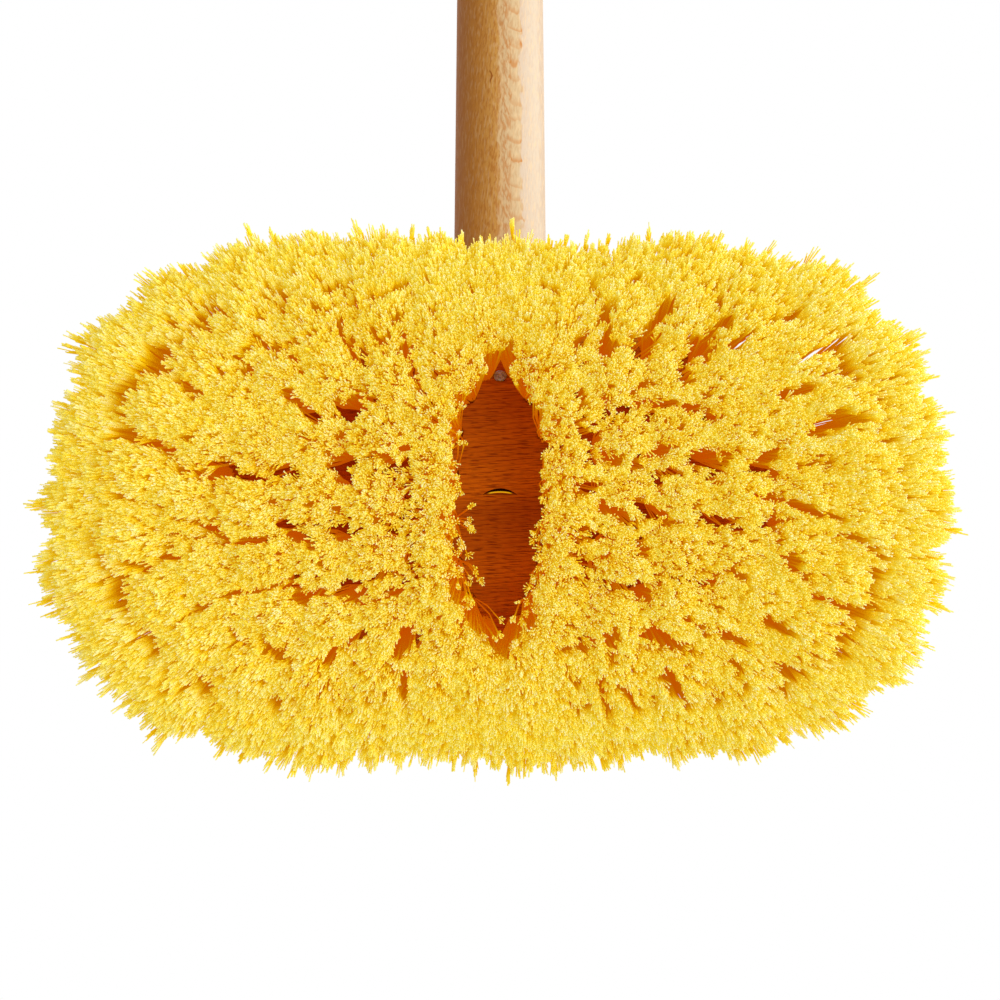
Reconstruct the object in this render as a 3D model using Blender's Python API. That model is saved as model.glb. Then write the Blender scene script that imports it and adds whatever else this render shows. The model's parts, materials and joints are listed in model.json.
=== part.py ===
"""Deck brush: an oval beech block, long soft bristles and a wooden handle set into the block at an angle.

All sizes are in metres. The block's flat underside lies in the plane z = 0 with its centre at the origin.
X runs along the block, the bristles point down, and the handle rises towards +Y. The block is a straight
spine with a round end about each end of it, so a place on it is a point of the spine, a bearing away from
the spine and a distance along that bearing.
"""

import math

import bmesh
import bpy
from mathutils import Matrix, Vector

# Fit between neighbouring pieces, and how far a cutter runs past what it cuts
CLEARANCE = 0.0003
OVERRUN = 0.001

# Block: a flat underside, and a sloping edge all round it
SPINE_HALF = 0.0387
UNDERSIDE_RADIUS = 0.0295
BEVEL_WIDTH = 0.014
BEVEL_ANGLE = math.radians(40)
BLOCK_THICKNESS = 0.032
TOP_ROUNDING = 0.0055
ROUNDING_STEPS = 4
END_STEPS = 20

# Slices of the block's underside that carry the bristles
SLICE_THICKNESS = 0.0027
SLICE_RIM = 0.0006

# Tufts: how much wider apart they are at their ends than at their roots, and how far they reach
FAN_SHARE = 1.216
TRIM_LENGTH = 0.052
TUFT_RADIUS = 0.0028
ROOT_SPREAD_SHARE = 0.446
ROOT_WIDTH_SHARE = 0.518
ROOT_DEPTH = 0.0012
TIP_SPREAD_SHARE = 0.20
TIP_WIDTH_SHARE = 0.25

# Tufts beside the open centre: each stands on all four sides of it. Their places are shares of the open
# centre's half width and of the flat's reach, which is where a tuft just fits on the underside.
CENTRE_HALF = 0.0130
CENTRE_TUFT_SHARES = ((1, 0.217), (0.923, 0.637), (0.654, 1))

# Straight rows across the underside, spaced by a share of the flat's reach. For the middle row, the next
# and the outer one, their tufts lie at shares of the reach along the block, and a last one follows its end.
ROW_PITCH_SHARE = 0.4645
ROW_TUFT_SHARES = (
    (0.410, 0.599, 0.783),
    (0.390, 0.581, 0.769),
    (0.352, 0.535, 0.696),
)
END_TRACK_SHARE = 0.985
OUTER_ROW_LAST_SHARE = 0.768
ROW_NAMES = ("c", "d", "e", "f", "g")
EDGE_STEPS = 6

# Two rings of tufts on the sloping edge: where they stand as shares of the slope, where they stand along the
# spine as shares of it, and how much further out their ends are than their roots
INNER_RING_SLOPE_SHARE = 0.263
OUTER_RING_SLOPE_SHARE = 0.75
RING_MEETING_SHARE = 0.506
RING_TUFT_SHARES = (0.119, 0.328, 0.654)
INNER_RING_SPLAY = 0.0118
OUTER_RING_SPLAY = 0.0218
OUTER_RING_LIFT = 0.006
OUTER_STRAND_LIFT = 0.003
INNER_RING_END_TUFTS = 8
OUTER_RING_END_TUFTS = 9
RING_END_STEPS = 18

# Handle, and where the lowest corner of its hole breaks through the underside
HANDLE_ANGLE = math.radians(45)
HANDLE_DIAMETER = 0.0254
HANDLE_LENGTH = 1.22
HANDLE_TIP_DIAMETER = 0.0188
HANDLE_TAPER_LENGTH = 0.060
HANDLE_TIP_CHAMFER = 0.0007
HANDLE_DOME_HEIGHT = 0.009
HANDLE_DOME_STEPS = 7
HANDLE_SIDES = 40
BREAKTHROUGH_Y = 0.00165
BREAKTHROUGH_DEPTH = 0.000775

# Nail through the sloping edge into the handle
NAIL_SLOPE = 0.0024
NAIL_DIAMETER = 0.0020
NAIL_LENGTH = 0.0275
NAIL_POINT_LENGTH = 0.003
NAIL_POINT_DIAMETER = 0.0006
NAIL_HEAD_DIAMETER = 0.0034
NAIL_HEAD_EDGE = 0.0003
NAIL_HEAD_DOME = 0.0008
NAIL_DOME_STEPS = 4
NAIL_SIDES = 16

RIGHT, LEFT = 1, -1
HANDLE_SIDE, FAR_SIDE = math.pi / 2, -math.pi / 2


def start_empty_scene():
    """Removes whatever the file holds."""
    for old in list(bpy.data.objects):
        bpy.data.objects.remove(old, do_unlink=True)


def make_material(name, colour, roughness, metallic=0.0):
    """A plain Principled material."""
    material = bpy.data.materials.new(name)
    material.use_nodes = True
    shader = material.node_tree.nodes["Principled BSDF"]
    shader.inputs["Base Color"].default_value = (*colour, 1.0)
    shader.inputs["Roughness"].default_value = roughness
    shader.inputs["Metallic"].default_value = metallic
    return material


def make_object(name, mesh_builder, material):
    """A mesh object from a bmesh, with its faces turned outwards."""
    bmesh.ops.recalc_face_normals(mesh_builder, faces=mesh_builder.faces)
    mesh = bpy.data.meshes.new(name)
    mesh_builder.to_mesh(mesh)
    mesh_builder.free()
    mesh.materials.append(material)
    made = bpy.data.objects.new(name, mesh)
    bpy.context.collection.objects.link(made)
    return made


def add_boolean(target, operation, operand):
    """Joins or cuts target with a hidden operand."""
    operand.hide_render = True
    operand.display_type = "WIRE"
    modifier = target.modifiers.new(operand.name, "BOOLEAN")
    modifier.operation = operation
    modifier.solver = "EXACT"
    modifier.object = operand


def skin_loops(builder, loops):
    """Joins closed loops of equally many points, one after another, and closes both ends."""
    rings = [[builder.verts.new(point) for point in loop] for loop in loops]
    count = len(rings[0])
    for lower, upper in zip(rings, rings[1:]):
        for i in range(count):
            following = (i + 1) % count
            builder.faces.new((lower[i], lower[following], upper[following], upper[i]))
    builder.faces.new(rings[0])
    builder.faces.new(rings[-1])


def turned_mesh(profile, sides):
    """A solid of revolution about Z from (radius, height) points that start and end on the axis."""
    builder = bmesh.new()
    bottom = builder.verts.new((0, 0, profile[0][1]))
    top = builder.verts.new((0, 0, profile[-1][1]))
    rings = []
    for radius, height in profile[1:-1]:
        turns = [2 * math.pi * i / sides for i in range(sides)]
        rings.append([builder.verts.new((radius * math.cos(a), radius * math.sin(a), height)) for a in turns])
    for i in range(sides):
        following = (i + 1) % sides
        builder.faces.new((bottom, rings[0][following], rings[0][i]))
        builder.faces.new((top, rings[-1][i], rings[-1][following]))
        for lower, upper in zip(rings, rings[1:]):
            builder.faces.new((lower[i], lower[following], upper[following], upper[i]))
    return builder


def bearing_vector(bearing):
    """The level direction away from the spine at a bearing, counted from +X towards +Y."""
    return Vector((math.cos(bearing), math.sin(bearing), 0))


def place(spine_x, bearing, radius, height):
    """A point at a radius from the spine."""
    return Vector((spine_x, 0, height)) + bearing_vector(bearing) * radius


def stadium(radius, height):
    """The block's oval outline at a radius from the spine."""
    points = []
    for side, start in ((RIGHT, FAR_SIDE), (LEFT, HANDLE_SIDE)):
        for i in range(END_STEPS + 1):
            points.append(place(side * SPINE_HALF, start + math.pi * i / END_STEPS, radius, height))
    return points


def slope_point(along, depth):
    """A (radius, height) pair from a distance up the sloping edge and a depth into the wood below it."""
    radius = UNDERSIDE_RADIUS + along * math.cos(BEVEL_ANGLE) - depth * math.sin(BEVEL_ANGLE)
    height = along * math.sin(BEVEL_ANGLE) + depth * math.cos(BEVEL_ANGLE)
    return radius, height


def mitre_step(depth):
    """How far the mitre between the flat and the slope moves along either of them at a depth into the wood."""
    return depth * math.tan(BEVEL_ANGLE / 2)


BLOCK_RADIUS = UNDERSIDE_RADIUS + BEVEL_WIDTH
SLOPE_LENGTH = BEVEL_WIDTH / math.cos(BEVEL_ANGLE)
POCKET_DEPTH = SLICE_THICKNESS + CLEARANCE
FLAT_EDGE = UNDERSIDE_RADIUS - CLEARANCE / 2
FLAT_REACH = UNDERSIDE_RADIUS - TUFT_RADIUS
LENGTH_REACH = SPINE_HALF + FLAT_REACH
ROW_PITCH = FLAT_REACH * ROW_PITCH_SHARE
OUTER_ROW_LAST = FLAT_REACH * OUTER_ROW_LAST_SHARE
ROW_EDGES = (ROW_PITCH / 2, OUTER_ROW_LAST - TUFT_RADIUS)
CENTRE_OUTER_EDGE = (CENTRE_HALF + LENGTH_REACH * ROW_TUFT_SHARES[2][0]) / 2
CENTRE_TUFTS = [(CENTRE_HALF * across, FLAT_REACH * along) for across, along in CENTRE_TUFT_SHARES]
RING_TUFTS = [SPINE_HALF * share for share in RING_TUFT_SHARES]


def handle_frame():
    """The hole's lower end as a matrix whose Z runs up the handle."""
    bore_radius = HANDLE_TIP_DIAMETER / 2 + CLEARANCE
    up = Vector((0, math.cos(HANDLE_ANGLE), math.sin(HANDLE_ANGLE)))
    down_side = Vector((0, math.sin(HANDLE_ANGLE), -math.cos(HANDLE_ANGLE)))
    corner = Vector((0, BREAKTHROUGH_Y, -BREAKTHROUGH_DEPTH))
    turn = up.to_track_quat("Z", "Y").to_matrix().to_4x4()
    return Matrix.Translation(corner - down_side * bore_radius) @ turn


def nail_frame():
    """The nail's seat on the slope as a matrix whose Z runs into the wood."""
    radius, height = slope_point(NAIL_SLOPE, 0)
    inward = Vector((0, -math.sin(BEVEL_ANGLE), math.cos(BEVEL_ANGLE)))
    turn = inward.to_track_quat("Z", "Y").to_matrix().to_4x4()
    return Matrix.Translation(Vector((0, radius, height))) @ turn


def centre_edge(side, radius, inset):
    """The edge beside the open centre, from the far side to the handle side, drawn in from its tufts."""
    places = sorted([(x, -y) for x, y in CENTRE_TUFTS] + CENTRE_TUFTS, key=lambda xy: xy[1])
    inner = [(x - inset, y) for x, y in places]
    outline = [(inner[0][0], -radius)] + inner + [(inner[-1][0], radius)]
    return [(side * x, y) for x, y in outline]


def centre_outline(side, radius):
    """The slice that carries the tufts along one side of the open centre."""
    outer = CENTRE_OUTER_EDGE - CLEARANCE / 2
    return centre_edge(side, radius, TUFT_RADIUS) + [(side * outer, radius), (side * outer, -radius)]


def island_outline(radius):
    """The block's own underside between the two centre slices."""
    inset = TUFT_RADIUS + CLEARANCE
    return centre_edge(RIGHT, radius, inset) + centre_edge(LEFT, radius, inset)[::-1]


def row_outline(side, row, radius):
    """The slice that carries one straight row on one side, with its outer end round like the block's."""
    gap = CLEARANCE / 2
    if row == 0:
        low, high = -ROW_EDGES[0] + gap, ROW_EDGES[0] - gap
    elif abs(row) == 1:
        low, high = ROW_EDGES[0] + gap, ROW_EDGES[1] - gap
    else:
        low, high = ROW_EDGES[1] + gap, radius
    start, end = math.asin(low / radius), math.asin(high / radius)
    inner = CENTRE_OUTER_EDGE + gap
    outline = [(inner, low)]
    for i in range(EDGE_STEPS + 1):
        point = place(SPINE_HALF, start + (end - start) * i / EDGE_STEPS, radius, 0)
        outline.append((point.x, point.y))
    outline.append((inner, high))
    across = -1 if row < 0 else 1
    return [(side * x, across * y) for x, y in outline]


def flat_slice(outline_at):
    """A slice of the flat underside, from a function that gives its outline at a radius."""
    builder = bmesh.new()
    loops = []
    for depth in (0, SLICE_THICKNESS):
        loops.append([Vector((x, y, depth)) for x, y in outline_at(FLAT_EDGE - mitre_step(depth))])
    skin_loops(builder, loops)
    return builder


def ring_slice(stations, inner, outer):
    """A slice of the sloping edge, between two distances up the slope, swept along the block."""
    corners = (inner(0), outer, outer, inner(SLICE_THICKNESS))
    depths = (0, 0, SLICE_THICKNESS, SLICE_THICKNESS)
    section = [slope_point(along, depth) for along, depth in zip(corners, depths)]
    builder = bmesh.new()
    skin_loops(builder, [[place(x, bearing, r, z) for r, z in section] for x, bearing in stations])
    return builder


def nearest_tips(tufts):
    """The distance from each tuft's end to the nearest other one."""
    tips = [tuft["tip"] for tuft in tufts]
    return [min((tip - other).length for other in tips if other is not tip) for tip in tips]


def make_tuft(node, spine_x, bearing, root_pair, tip_pair, slope, lift):
    """One tuft: the slice that holds it, its root and its end, and the two directions that it spreads in."""
    outward = bearing_vector(bearing)
    uphill = outward * math.cos(slope) + Vector((0, 0, math.sin(slope)))
    around = Vector((-outward.y, outward.x, 0))
    return {
        "node": node,
        "root": place(spine_x, bearing, *root_pair),
        "tip": place(spine_x * FAN_SHARE, bearing, *tip_pair),
        "spread": (uphill, around),
        "outward": outward,
        "lift": lift,
    }


def flat_tuft(node, x, y):
    """A tuft on the flat underside."""
    return make_tuft(node, x, HANDLE_SIDE, (y, 0), (y * FAN_SHARE, -TRIM_LENGTH), 0, 0)


def side_name(side):
    """The word for a side in a piece's name."""
    return "right" if side == RIGHT else "left"


def centre_tufts(side):
    """The tufts along one side of the open centre."""
    node = "bristles_centre_" + side_name(side)
    return [flat_tuft(node, side * x, across * y) for x, y in CENTRE_TUFTS for across in (1, -1)]


def row_tufts(side, row):
    """The tufts of one straight row on one side."""
    node = f"bristles_row_{ROW_NAMES[row + 2]}_{side_name(side)}"
    across = -1 if row < 0 else 1
    y = abs(row) * ROW_PITCH
    places = [(LENGTH_REACH * share, y) for share in ROW_TUFT_SHARES[abs(row)]]
    last_y = OUTER_ROW_LAST if abs(row) == 2 else y
    last_x = SPINE_HALF + math.sqrt((FLAT_REACH * END_TRACK_SHARE) ** 2 - last_y**2)
    places.append((last_x, last_y))
    return [flat_tuft(node, side * x, across * y) for x, y in places]


def ring_stations(side):
    """The spine places and bearings that a ring's end slice runs through, from the far side round to the other."""
    start_x = (RING_TUFTS[-1] + SPINE_HALF + CLEARANCE) / 2
    bearings = [FAR_SIDE + math.pi * i / RING_END_STEPS for i in range(RING_END_STEPS + 1)]
    stations = [(start_x, FAR_SIDE)] + [(SPINE_HALF, b) for b in bearings] + [(start_x, HANDLE_SIDE)]
    if side == RIGHT:
        return stations
    return [(-x, math.pi - bearing) for x, bearing in stations]


def straight_stations(bearing):
    """The ends of a ring's straight slice, and the places halfway between its tufts."""
    end_x = (RING_TUFTS[-1] + SPINE_HALF - CLEARANCE) / 2
    halfway = [(near + far) / 2 for near, far in zip(RING_TUFTS, RING_TUFTS[1:])]
    half = [*halfway, end_x]
    return [(x, bearing) for x in [-x for x in reversed(half)] + [0] + half]


class Ring:
    """One ring of tufts on the sloping edge, made of two straight slices and two round ends."""

    def __init__(self, name, slope, splay, tip_height, lift, end_tufts, inner, outer):
        self.name = name
        self.root_pair = slope_point(slope, 0)
        self.tip_pair = (self.root_pair[0] + splay, tip_height)
        self.lift = lift
        self.end_tufts = end_tufts
        self.inner = inner
        self.outer = outer

    def tuft(self, node, spine_x, bearing):
        """A tuft of this ring."""
        return make_tuft(node, spine_x, bearing, self.root_pair, self.tip_pair, BEVEL_ANGLE, self.lift)

    def pieces(self):
        """Each slice of the ring as its name, its stations and its tufts."""
        for label, bearing in (("handle_side", HANDLE_SIDE), ("far_side", FAR_SIDE)):
            node = f"bristles_{self.name}_{label}"
            places = [side * x for side in (RIGHT, LEFT) for x in RING_TUFTS]
            yield node, straight_stations(bearing), [self.tuft(node, x, bearing) for x in places]
        for side in (RIGHT, LEFT):
            node = f"bristles_{self.name}_{side_name(side)}"
            step = math.pi / (self.end_tufts + 1)
            bearings = [FAR_SIDE + step * i for i in range(self.end_tufts + 2)]
            if side == LEFT:
                bearings = [math.pi - bearing for bearing in bearings]
            yield node, ring_stations(side), [self.tuft(node, side * SPINE_HALF, b) for b in bearings]


def add_strand(builder, root, tip, root_half, tip_half, uphill, around):
    """One four-sided strand that starts inside its slice and is cut off level at its end."""
    along = (tip - root).normalized()
    start = root - along * ROOT_DEPTH
    level = (around.cross(Vector((0, 0, 1)))).normalized()
    loops = []
    for centre, half, first in ((start, root_half, uphill), (tip, tip_half, level)):
        corners = ((-1, -1), (1, -1), (1, 1), (-1, 1))
        loops.append([centre + first * (half * a) + around * (half * b) for a, b in corners])
    skin_loops(builder, loops)


def add_tuft(builder, tuft, room):
    """The four strands of a tuft, spread as far as the room around its end lets them."""
    uphill, around = tuft["spread"]
    spread, tip_half = TIP_SPREAD_SHARE * room, TIP_WIDTH_SHARE * room / 2
    for out in (-1, 1):
        for turn in (-1, 1):
            root = tuft["root"] + (uphill * out + around * turn) * (TUFT_RADIUS * ROOT_SPREAD_SHARE)
            tip = tuft["tip"] + tuft["outward"] * (spread * out) + around * (spread * turn)
            if out > 0:
                tip.z += tuft["lift"]
            add_strand(builder, root, tip, TUFT_RADIUS * ROOT_WIDTH_SHARE / 2, tip_half, uphill, around)


def build_block(material):
    """The block: sloping edge, rounded top edge, the angled hole and the nail's hole."""
    last = SLOPE_LENGTH - SLICE_RIM
    floor_radius = UNDERSIDE_RADIUS - mitre_step(POCKET_DEPTH)
    profile = [
        (floor_radius, POCKET_DEPTH),
        slope_point(last, POCKET_DEPTH),
        slope_point(last, 0),
        (BLOCK_RADIUS, SLOPE_LENGTH * math.sin(BEVEL_ANGLE)),
    ]
    for i in range(ROUNDING_STEPS + 1):
        turn = math.pi / 2 * i / ROUNDING_STEPS
        radius = BLOCK_RADIUS - TOP_ROUNDING * (1 - math.cos(turn))
        height = BLOCK_THICKNESS - TOP_ROUNDING * (1 - math.sin(turn))
        profile.append((radius, height))
    builder = bmesh.new()
    skin_loops(builder, [stadium(radius, height) for radius, height in profile])
    block = make_object("block", builder, material)

    builder = bmesh.new()
    loops = []
    for depth in (0, POCKET_DEPTH):
        loops.append([Vector((x, y, depth)) for x, y in island_outline(FLAT_EDGE - mitre_step(depth))])
    loops.append([point + Vector((0, 0, OVERRUN)) for point in loops[-1]])
    skin_loops(builder, loops)
    add_boolean(block, "UNION", make_object("block_centre", builder, material))
    return block


def handle_radius(distance):
    """The handle's radius at a distance from its lower end."""
    share = min(distance / HANDLE_TAPER_LENGTH, 1)
    return (HANDLE_TIP_DIAMETER + (HANDLE_DIAMETER - HANDLE_TIP_DIAMETER) * share) / 2


def build_handle(material):
    """The handle: a tapered lower end, a plain round shaft and a domed top."""
    radius = HANDLE_DIAMETER / 2
    profile = [
        (0, 0),
        (handle_radius(0) - HANDLE_TIP_CHAMFER, 0),
        (handle_radius(HANDLE_TIP_CHAMFER), HANDLE_TIP_CHAMFER),
        (radius, HANDLE_TAPER_LENGTH),
    ]
    for i in range(HANDLE_DOME_STEPS):
        turn = math.pi / 2 * i / HANDLE_DOME_STEPS
        height = HANDLE_LENGTH - HANDLE_DOME_HEIGHT * (1 - math.sin(turn))
        profile.append((radius * math.cos(turn), height))
    profile.append((0, HANDLE_LENGTH))
    handle = make_object("handle", turned_mesh(profile, HANDLE_SIDES), material)
    handle.data.shade_smooth()
    handle.matrix_world = handle_frame() @ Matrix.Translation((0, 0, CLEARANCE))
    return handle


def build_handle_hole(material):
    """The cutter for the tapered hole that the handle sits in."""
    top = HANDLE_TAPER_LENGTH + OVERRUN
    profile = [
        (0, 0),
        (handle_radius(0) + CLEARANCE, 0),
        (handle_radius(HANDLE_TAPER_LENGTH) + CLEARANCE, HANDLE_TAPER_LENGTH + CLEARANCE),
        (handle_radius(HANDLE_TAPER_LENGTH) + CLEARANCE, top),
        (0, top),
    ]
    hole = make_object("handle_hole", turned_mesh(profile, HANDLE_SIDES), material)
    hole.matrix_world = handle_frame()
    return hole


def build_nail(material):
    """The nail: a domed head on the sloping edge, and a pointed shank that locks the handle."""
    head, shank = NAIL_HEAD_DIAMETER / 2, NAIL_DIAMETER / 2
    seat = -CLEARANCE
    top = seat - NAIL_HEAD_EDGE
    profile = [(0, top - NAIL_HEAD_DOME)]
    for i in range(1, NAIL_DOME_STEPS + 1):
        turn = math.pi / 2 * i / NAIL_DOME_STEPS
        profile.append((head * math.sin(turn), top - NAIL_HEAD_DOME * math.cos(turn)))
    profile += [
        (head, seat),
        (shank, seat),
        (shank, NAIL_LENGTH - NAIL_POINT_LENGTH),
        (NAIL_POINT_DIAMETER / 2, NAIL_LENGTH),
        (0, NAIL_LENGTH),
    ]
    nail = make_object("handle_nail", turned_mesh(profile, NAIL_SIDES), material)
    nail.data.shade_smooth()
    nail.matrix_world = nail_frame()
    return nail


def build_nail_hole(material):
    """The cutter for the nail's hole through the edge, the block and into the handle."""
    radius = NAIL_DIAMETER / 2 + CLEARANCE
    top = NAIL_LENGTH + CLEARANCE
    profile = [(0, -OVERRUN), (radius, -OVERRUN), (radius, top), (0, top)]
    hole = make_object("nail_hole", turned_mesh(profile, NAIL_SIDES), material)
    hole.matrix_world = nail_frame()
    return hole


def build_bristles(material):
    """Every slice with its tufts, and the slices by name."""
    slices, tufts = [], []
    for side in (RIGHT, LEFT):
        placed = centre_tufts(side)
        slices.append((placed[0]["node"], flat_slice(lambda radius: centre_outline(side, radius))))
        tufts += placed
        for row in range(-2, 3):
            placed = row_tufts(side, row)
            slices.append((placed[0]["node"], flat_slice(lambda radius: row_outline(side, row, radius))))
            tufts += placed
    gap = CLEARANCE / 2
    meeting = SLOPE_LENGTH * RING_MEETING_SHARE
    inner_ring = Ring(
        "inner_ring",
        SLOPE_LENGTH * INNER_RING_SLOPE_SHARE,
        INNER_RING_SPLAY,
        -TRIM_LENGTH,
        0,
        INNER_RING_END_TUFTS,
        lambda depth: gap + mitre_step(depth),
        meeting - gap,
    )
    outer_ring = Ring(
        "outer_ring",
        SLOPE_LENGTH * OUTER_RING_SLOPE_SHARE,
        OUTER_RING_SPLAY,
        OUTER_RING_LIFT - TRIM_LENGTH,
        OUTER_STRAND_LIFT,
        OUTER_RING_END_TUFTS,
        lambda depth: meeting + gap,
        SLOPE_LENGTH - SLICE_RIM - CLEARANCE,
    )
    for ring in (inner_ring, outer_ring):
        for node, stations, placed in ring.pieces():
            slices.append((node, ring_slice(stations, ring.inner, ring.outer)))
            tufts += placed
    rooms = nearest_tips(tufts)
    made = {}
    for node, builder in slices:
        made[node] = make_object(node, builder, material)
        strands = bmesh.new()
        for tuft, room in zip(tufts, rooms):
            if tuft["node"] == node:
                add_tuft(strands, tuft, room)
        add_boolean(made[node], "UNION", make_object(node + "_strands", strands, material))
    return made


def build_brush():
    """The whole deck brush, its pieces parented to one empty at the block's underside."""
    beech = make_material("block_beech", (0.46, 0.22, 0.07), 0.55)
    pale_beech = make_material("handle_beech", (0.62, 0.38, 0.17), 0.5)
    yellow = make_material("bristle_yellow", (0.82, 0.52, 0.05), 0.6)
    steel = make_material("nail_steel", (0.45, 0.44, 0.46), 0.4, 1.0)

    block = build_block(beech)
    handle = build_handle(pale_beech)
    nail = build_nail(steel)
    bristles = build_bristles(yellow)

    nail_hole = build_nail_hole(beech)
    add_boolean(block, "DIFFERENCE", build_handle_hole(beech))
    for pierced in (block, handle, bristles["bristles_inner_ring_handle_side"]):
        add_boolean(pierced, "DIFFERENCE", nail_hole)

    brush = bpy.data.objects.new("deck_brush", None)
    bpy.context.collection.objects.link(brush)
    for piece in (block, handle, nail, *bristles.values()):
        piece.parent = brush


start_empty_scene()
build_brush()
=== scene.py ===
"""Looks of the deck brush: beech block and handle, a steel nail, and a pile of split yellow filaments.

All sizes are in metres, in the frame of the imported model. The block's flat underside lies at z = 0, X runs
along the block, the filaments point down and the handle rises towards +Y.
"""

from __future__ import annotations

import json
import logging
import math
import random
from collections.abc import Iterable, Iterator, Mapping, Sequence
from dataclasses import dataclass, replace
from enum import Enum, IntEnum
from typing import Any

import bmesh
import bpy
import numpy as np
from mathutils import Matrix, Vector

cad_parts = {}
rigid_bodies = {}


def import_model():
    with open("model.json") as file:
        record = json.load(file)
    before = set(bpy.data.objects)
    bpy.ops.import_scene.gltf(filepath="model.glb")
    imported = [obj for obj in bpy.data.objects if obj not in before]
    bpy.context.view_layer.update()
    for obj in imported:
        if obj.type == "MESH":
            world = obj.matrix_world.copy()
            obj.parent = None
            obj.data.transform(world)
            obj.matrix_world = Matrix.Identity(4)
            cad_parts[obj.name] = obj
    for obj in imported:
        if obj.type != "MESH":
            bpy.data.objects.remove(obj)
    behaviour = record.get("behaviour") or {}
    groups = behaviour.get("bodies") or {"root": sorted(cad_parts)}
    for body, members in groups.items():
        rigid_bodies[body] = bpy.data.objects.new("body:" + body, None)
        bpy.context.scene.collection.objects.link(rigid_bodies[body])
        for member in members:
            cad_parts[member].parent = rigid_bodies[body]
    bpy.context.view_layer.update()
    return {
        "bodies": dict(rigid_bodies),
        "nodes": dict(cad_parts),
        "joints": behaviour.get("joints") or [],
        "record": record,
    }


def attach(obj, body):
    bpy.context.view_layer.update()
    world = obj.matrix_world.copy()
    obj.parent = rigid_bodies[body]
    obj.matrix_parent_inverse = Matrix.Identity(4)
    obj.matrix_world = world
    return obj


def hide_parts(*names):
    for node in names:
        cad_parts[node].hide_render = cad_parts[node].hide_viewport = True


BODY = "root"
GOLDEN_ANGLE = math.pi * (3 - math.sqrt(5))
Colour = tuple[float, float, float]
Triple = tuple[float, float, float]
Band = tuple[float, float]
Inputs = Mapping[int | str, Any]
log = logging.getLogger("deck_brush")


class Side(Enum):
    """A side of the block along X, with the word that pieces are named by."""

    RIGHT = 1
    LEFT = -1

    @property
    def word(self) -> str:
        """The side's word in a piece's name."""
        return self.name.lower()


class Signal:
    """One output of a node, which Python's operators work on through Math nodes."""

    def __init__(self, graph: NodeGraph, socket: bpy.types.NodeSocket) -> None:
        """Keeps the graph and the socket."""
        self.graph = graph
        self.socket = socket

    def __getitem__(self, name: str) -> Signal:
        """Another output of the same node."""
        return self.graph.output(self.socket.node, name)

    def _math(self, operation: str, *values: Any) -> Signal:
        """A Math node on one value or more."""
        return self.graph.add("ShaderNodeMath", dict(enumerate(values)), operation=operation)

    def __add__(self, other: Any) -> Signal:
        """self + other."""
        return self._math("ADD", self, other)

    def __radd__(self, other: Any) -> Signal:
        """other + self."""
        return self._math("ADD", other, self)

    def __sub__(self, other: Any) -> Signal:
        """self - other."""
        return self._math("SUBTRACT", self, other)

    def __rsub__(self, other: Any) -> Signal:
        """other - self."""
        return self._math("SUBTRACT", other, self)

    def __mul__(self, other: Any) -> Signal:
        """self * other."""
        return self._math("MULTIPLY", self, other)

    def __rmul__(self, other: Any) -> Signal:
        """other * self."""
        return self._math("MULTIPLY", other, self)

    def __truediv__(self, other: Any) -> Signal:
        """self / other."""
        return self._math("DIVIDE", self, other)

    def __rtruediv__(self, other: Any) -> Signal:
        """other / self."""
        return self._math("DIVIDE", other, self)

    def __gt__(self, other: Any) -> Signal:
        """1 where self is over other, else 0."""
        return self._math("GREATER_THAN", self, other)

    def call(self, operation: str, *others: Any) -> Signal:
        """Any other operation of the Math node, such as SINE or MAXIMUM."""
        return self._math(operation, self, *others)

    def clamped(self) -> Signal:
        """The value, kept between 0 and 1."""
        return self.call("MAXIMUM", 0.0).call("MINIMUM", 1.0)


class Arrow(Signal):
    """A vector output, which Python's operators work on through Vector Math nodes."""

    def _vector(self, operation: str, inputs: Inputs) -> Signal:
        """A Vector Math node."""
        return self.graph.add("ShaderNodeVectorMath", inputs, operation=operation)

    def __add__(self, other: Any) -> Signal:
        """self + other."""
        return self._vector("ADD", {0: self, 1: other})

    def __sub__(self, other: Any) -> Signal:
        """self - other."""
        return self._vector("SUBTRACT", {0: self, 1: other})

    def __mul__(self, other: Any) -> Signal:
        """self scaled by a number or a value."""
        return self._vector("SCALE", {0: self, "Scale": other})

    def times(self, other: Any) -> Signal:
        """Each part of self times the same part of another vector."""
        return self._vector("MULTIPLY", {0: self, 1: other})

    def dot(self, other: Any) -> Signal:
        """The dot product with another vector."""
        return self._vector("DOT_PRODUCT", {0: self, 1: other})["Value"]

    def length(self) -> Signal:
        """The vector's length."""
        return self._vector("LENGTH", {0: self})

    def normalized(self) -> Signal:
        """The vector's direction."""
        return self._vector("NORMALIZE", {0: self})

    def split(self) -> tuple[Signal, Signal, Signal]:
        """The vector's three parts."""
        parts = self.graph.add("ShaderNodeSeparateXYZ", {0: self})
        return parts["X"], parts["Y"], parts["Z"]


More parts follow.
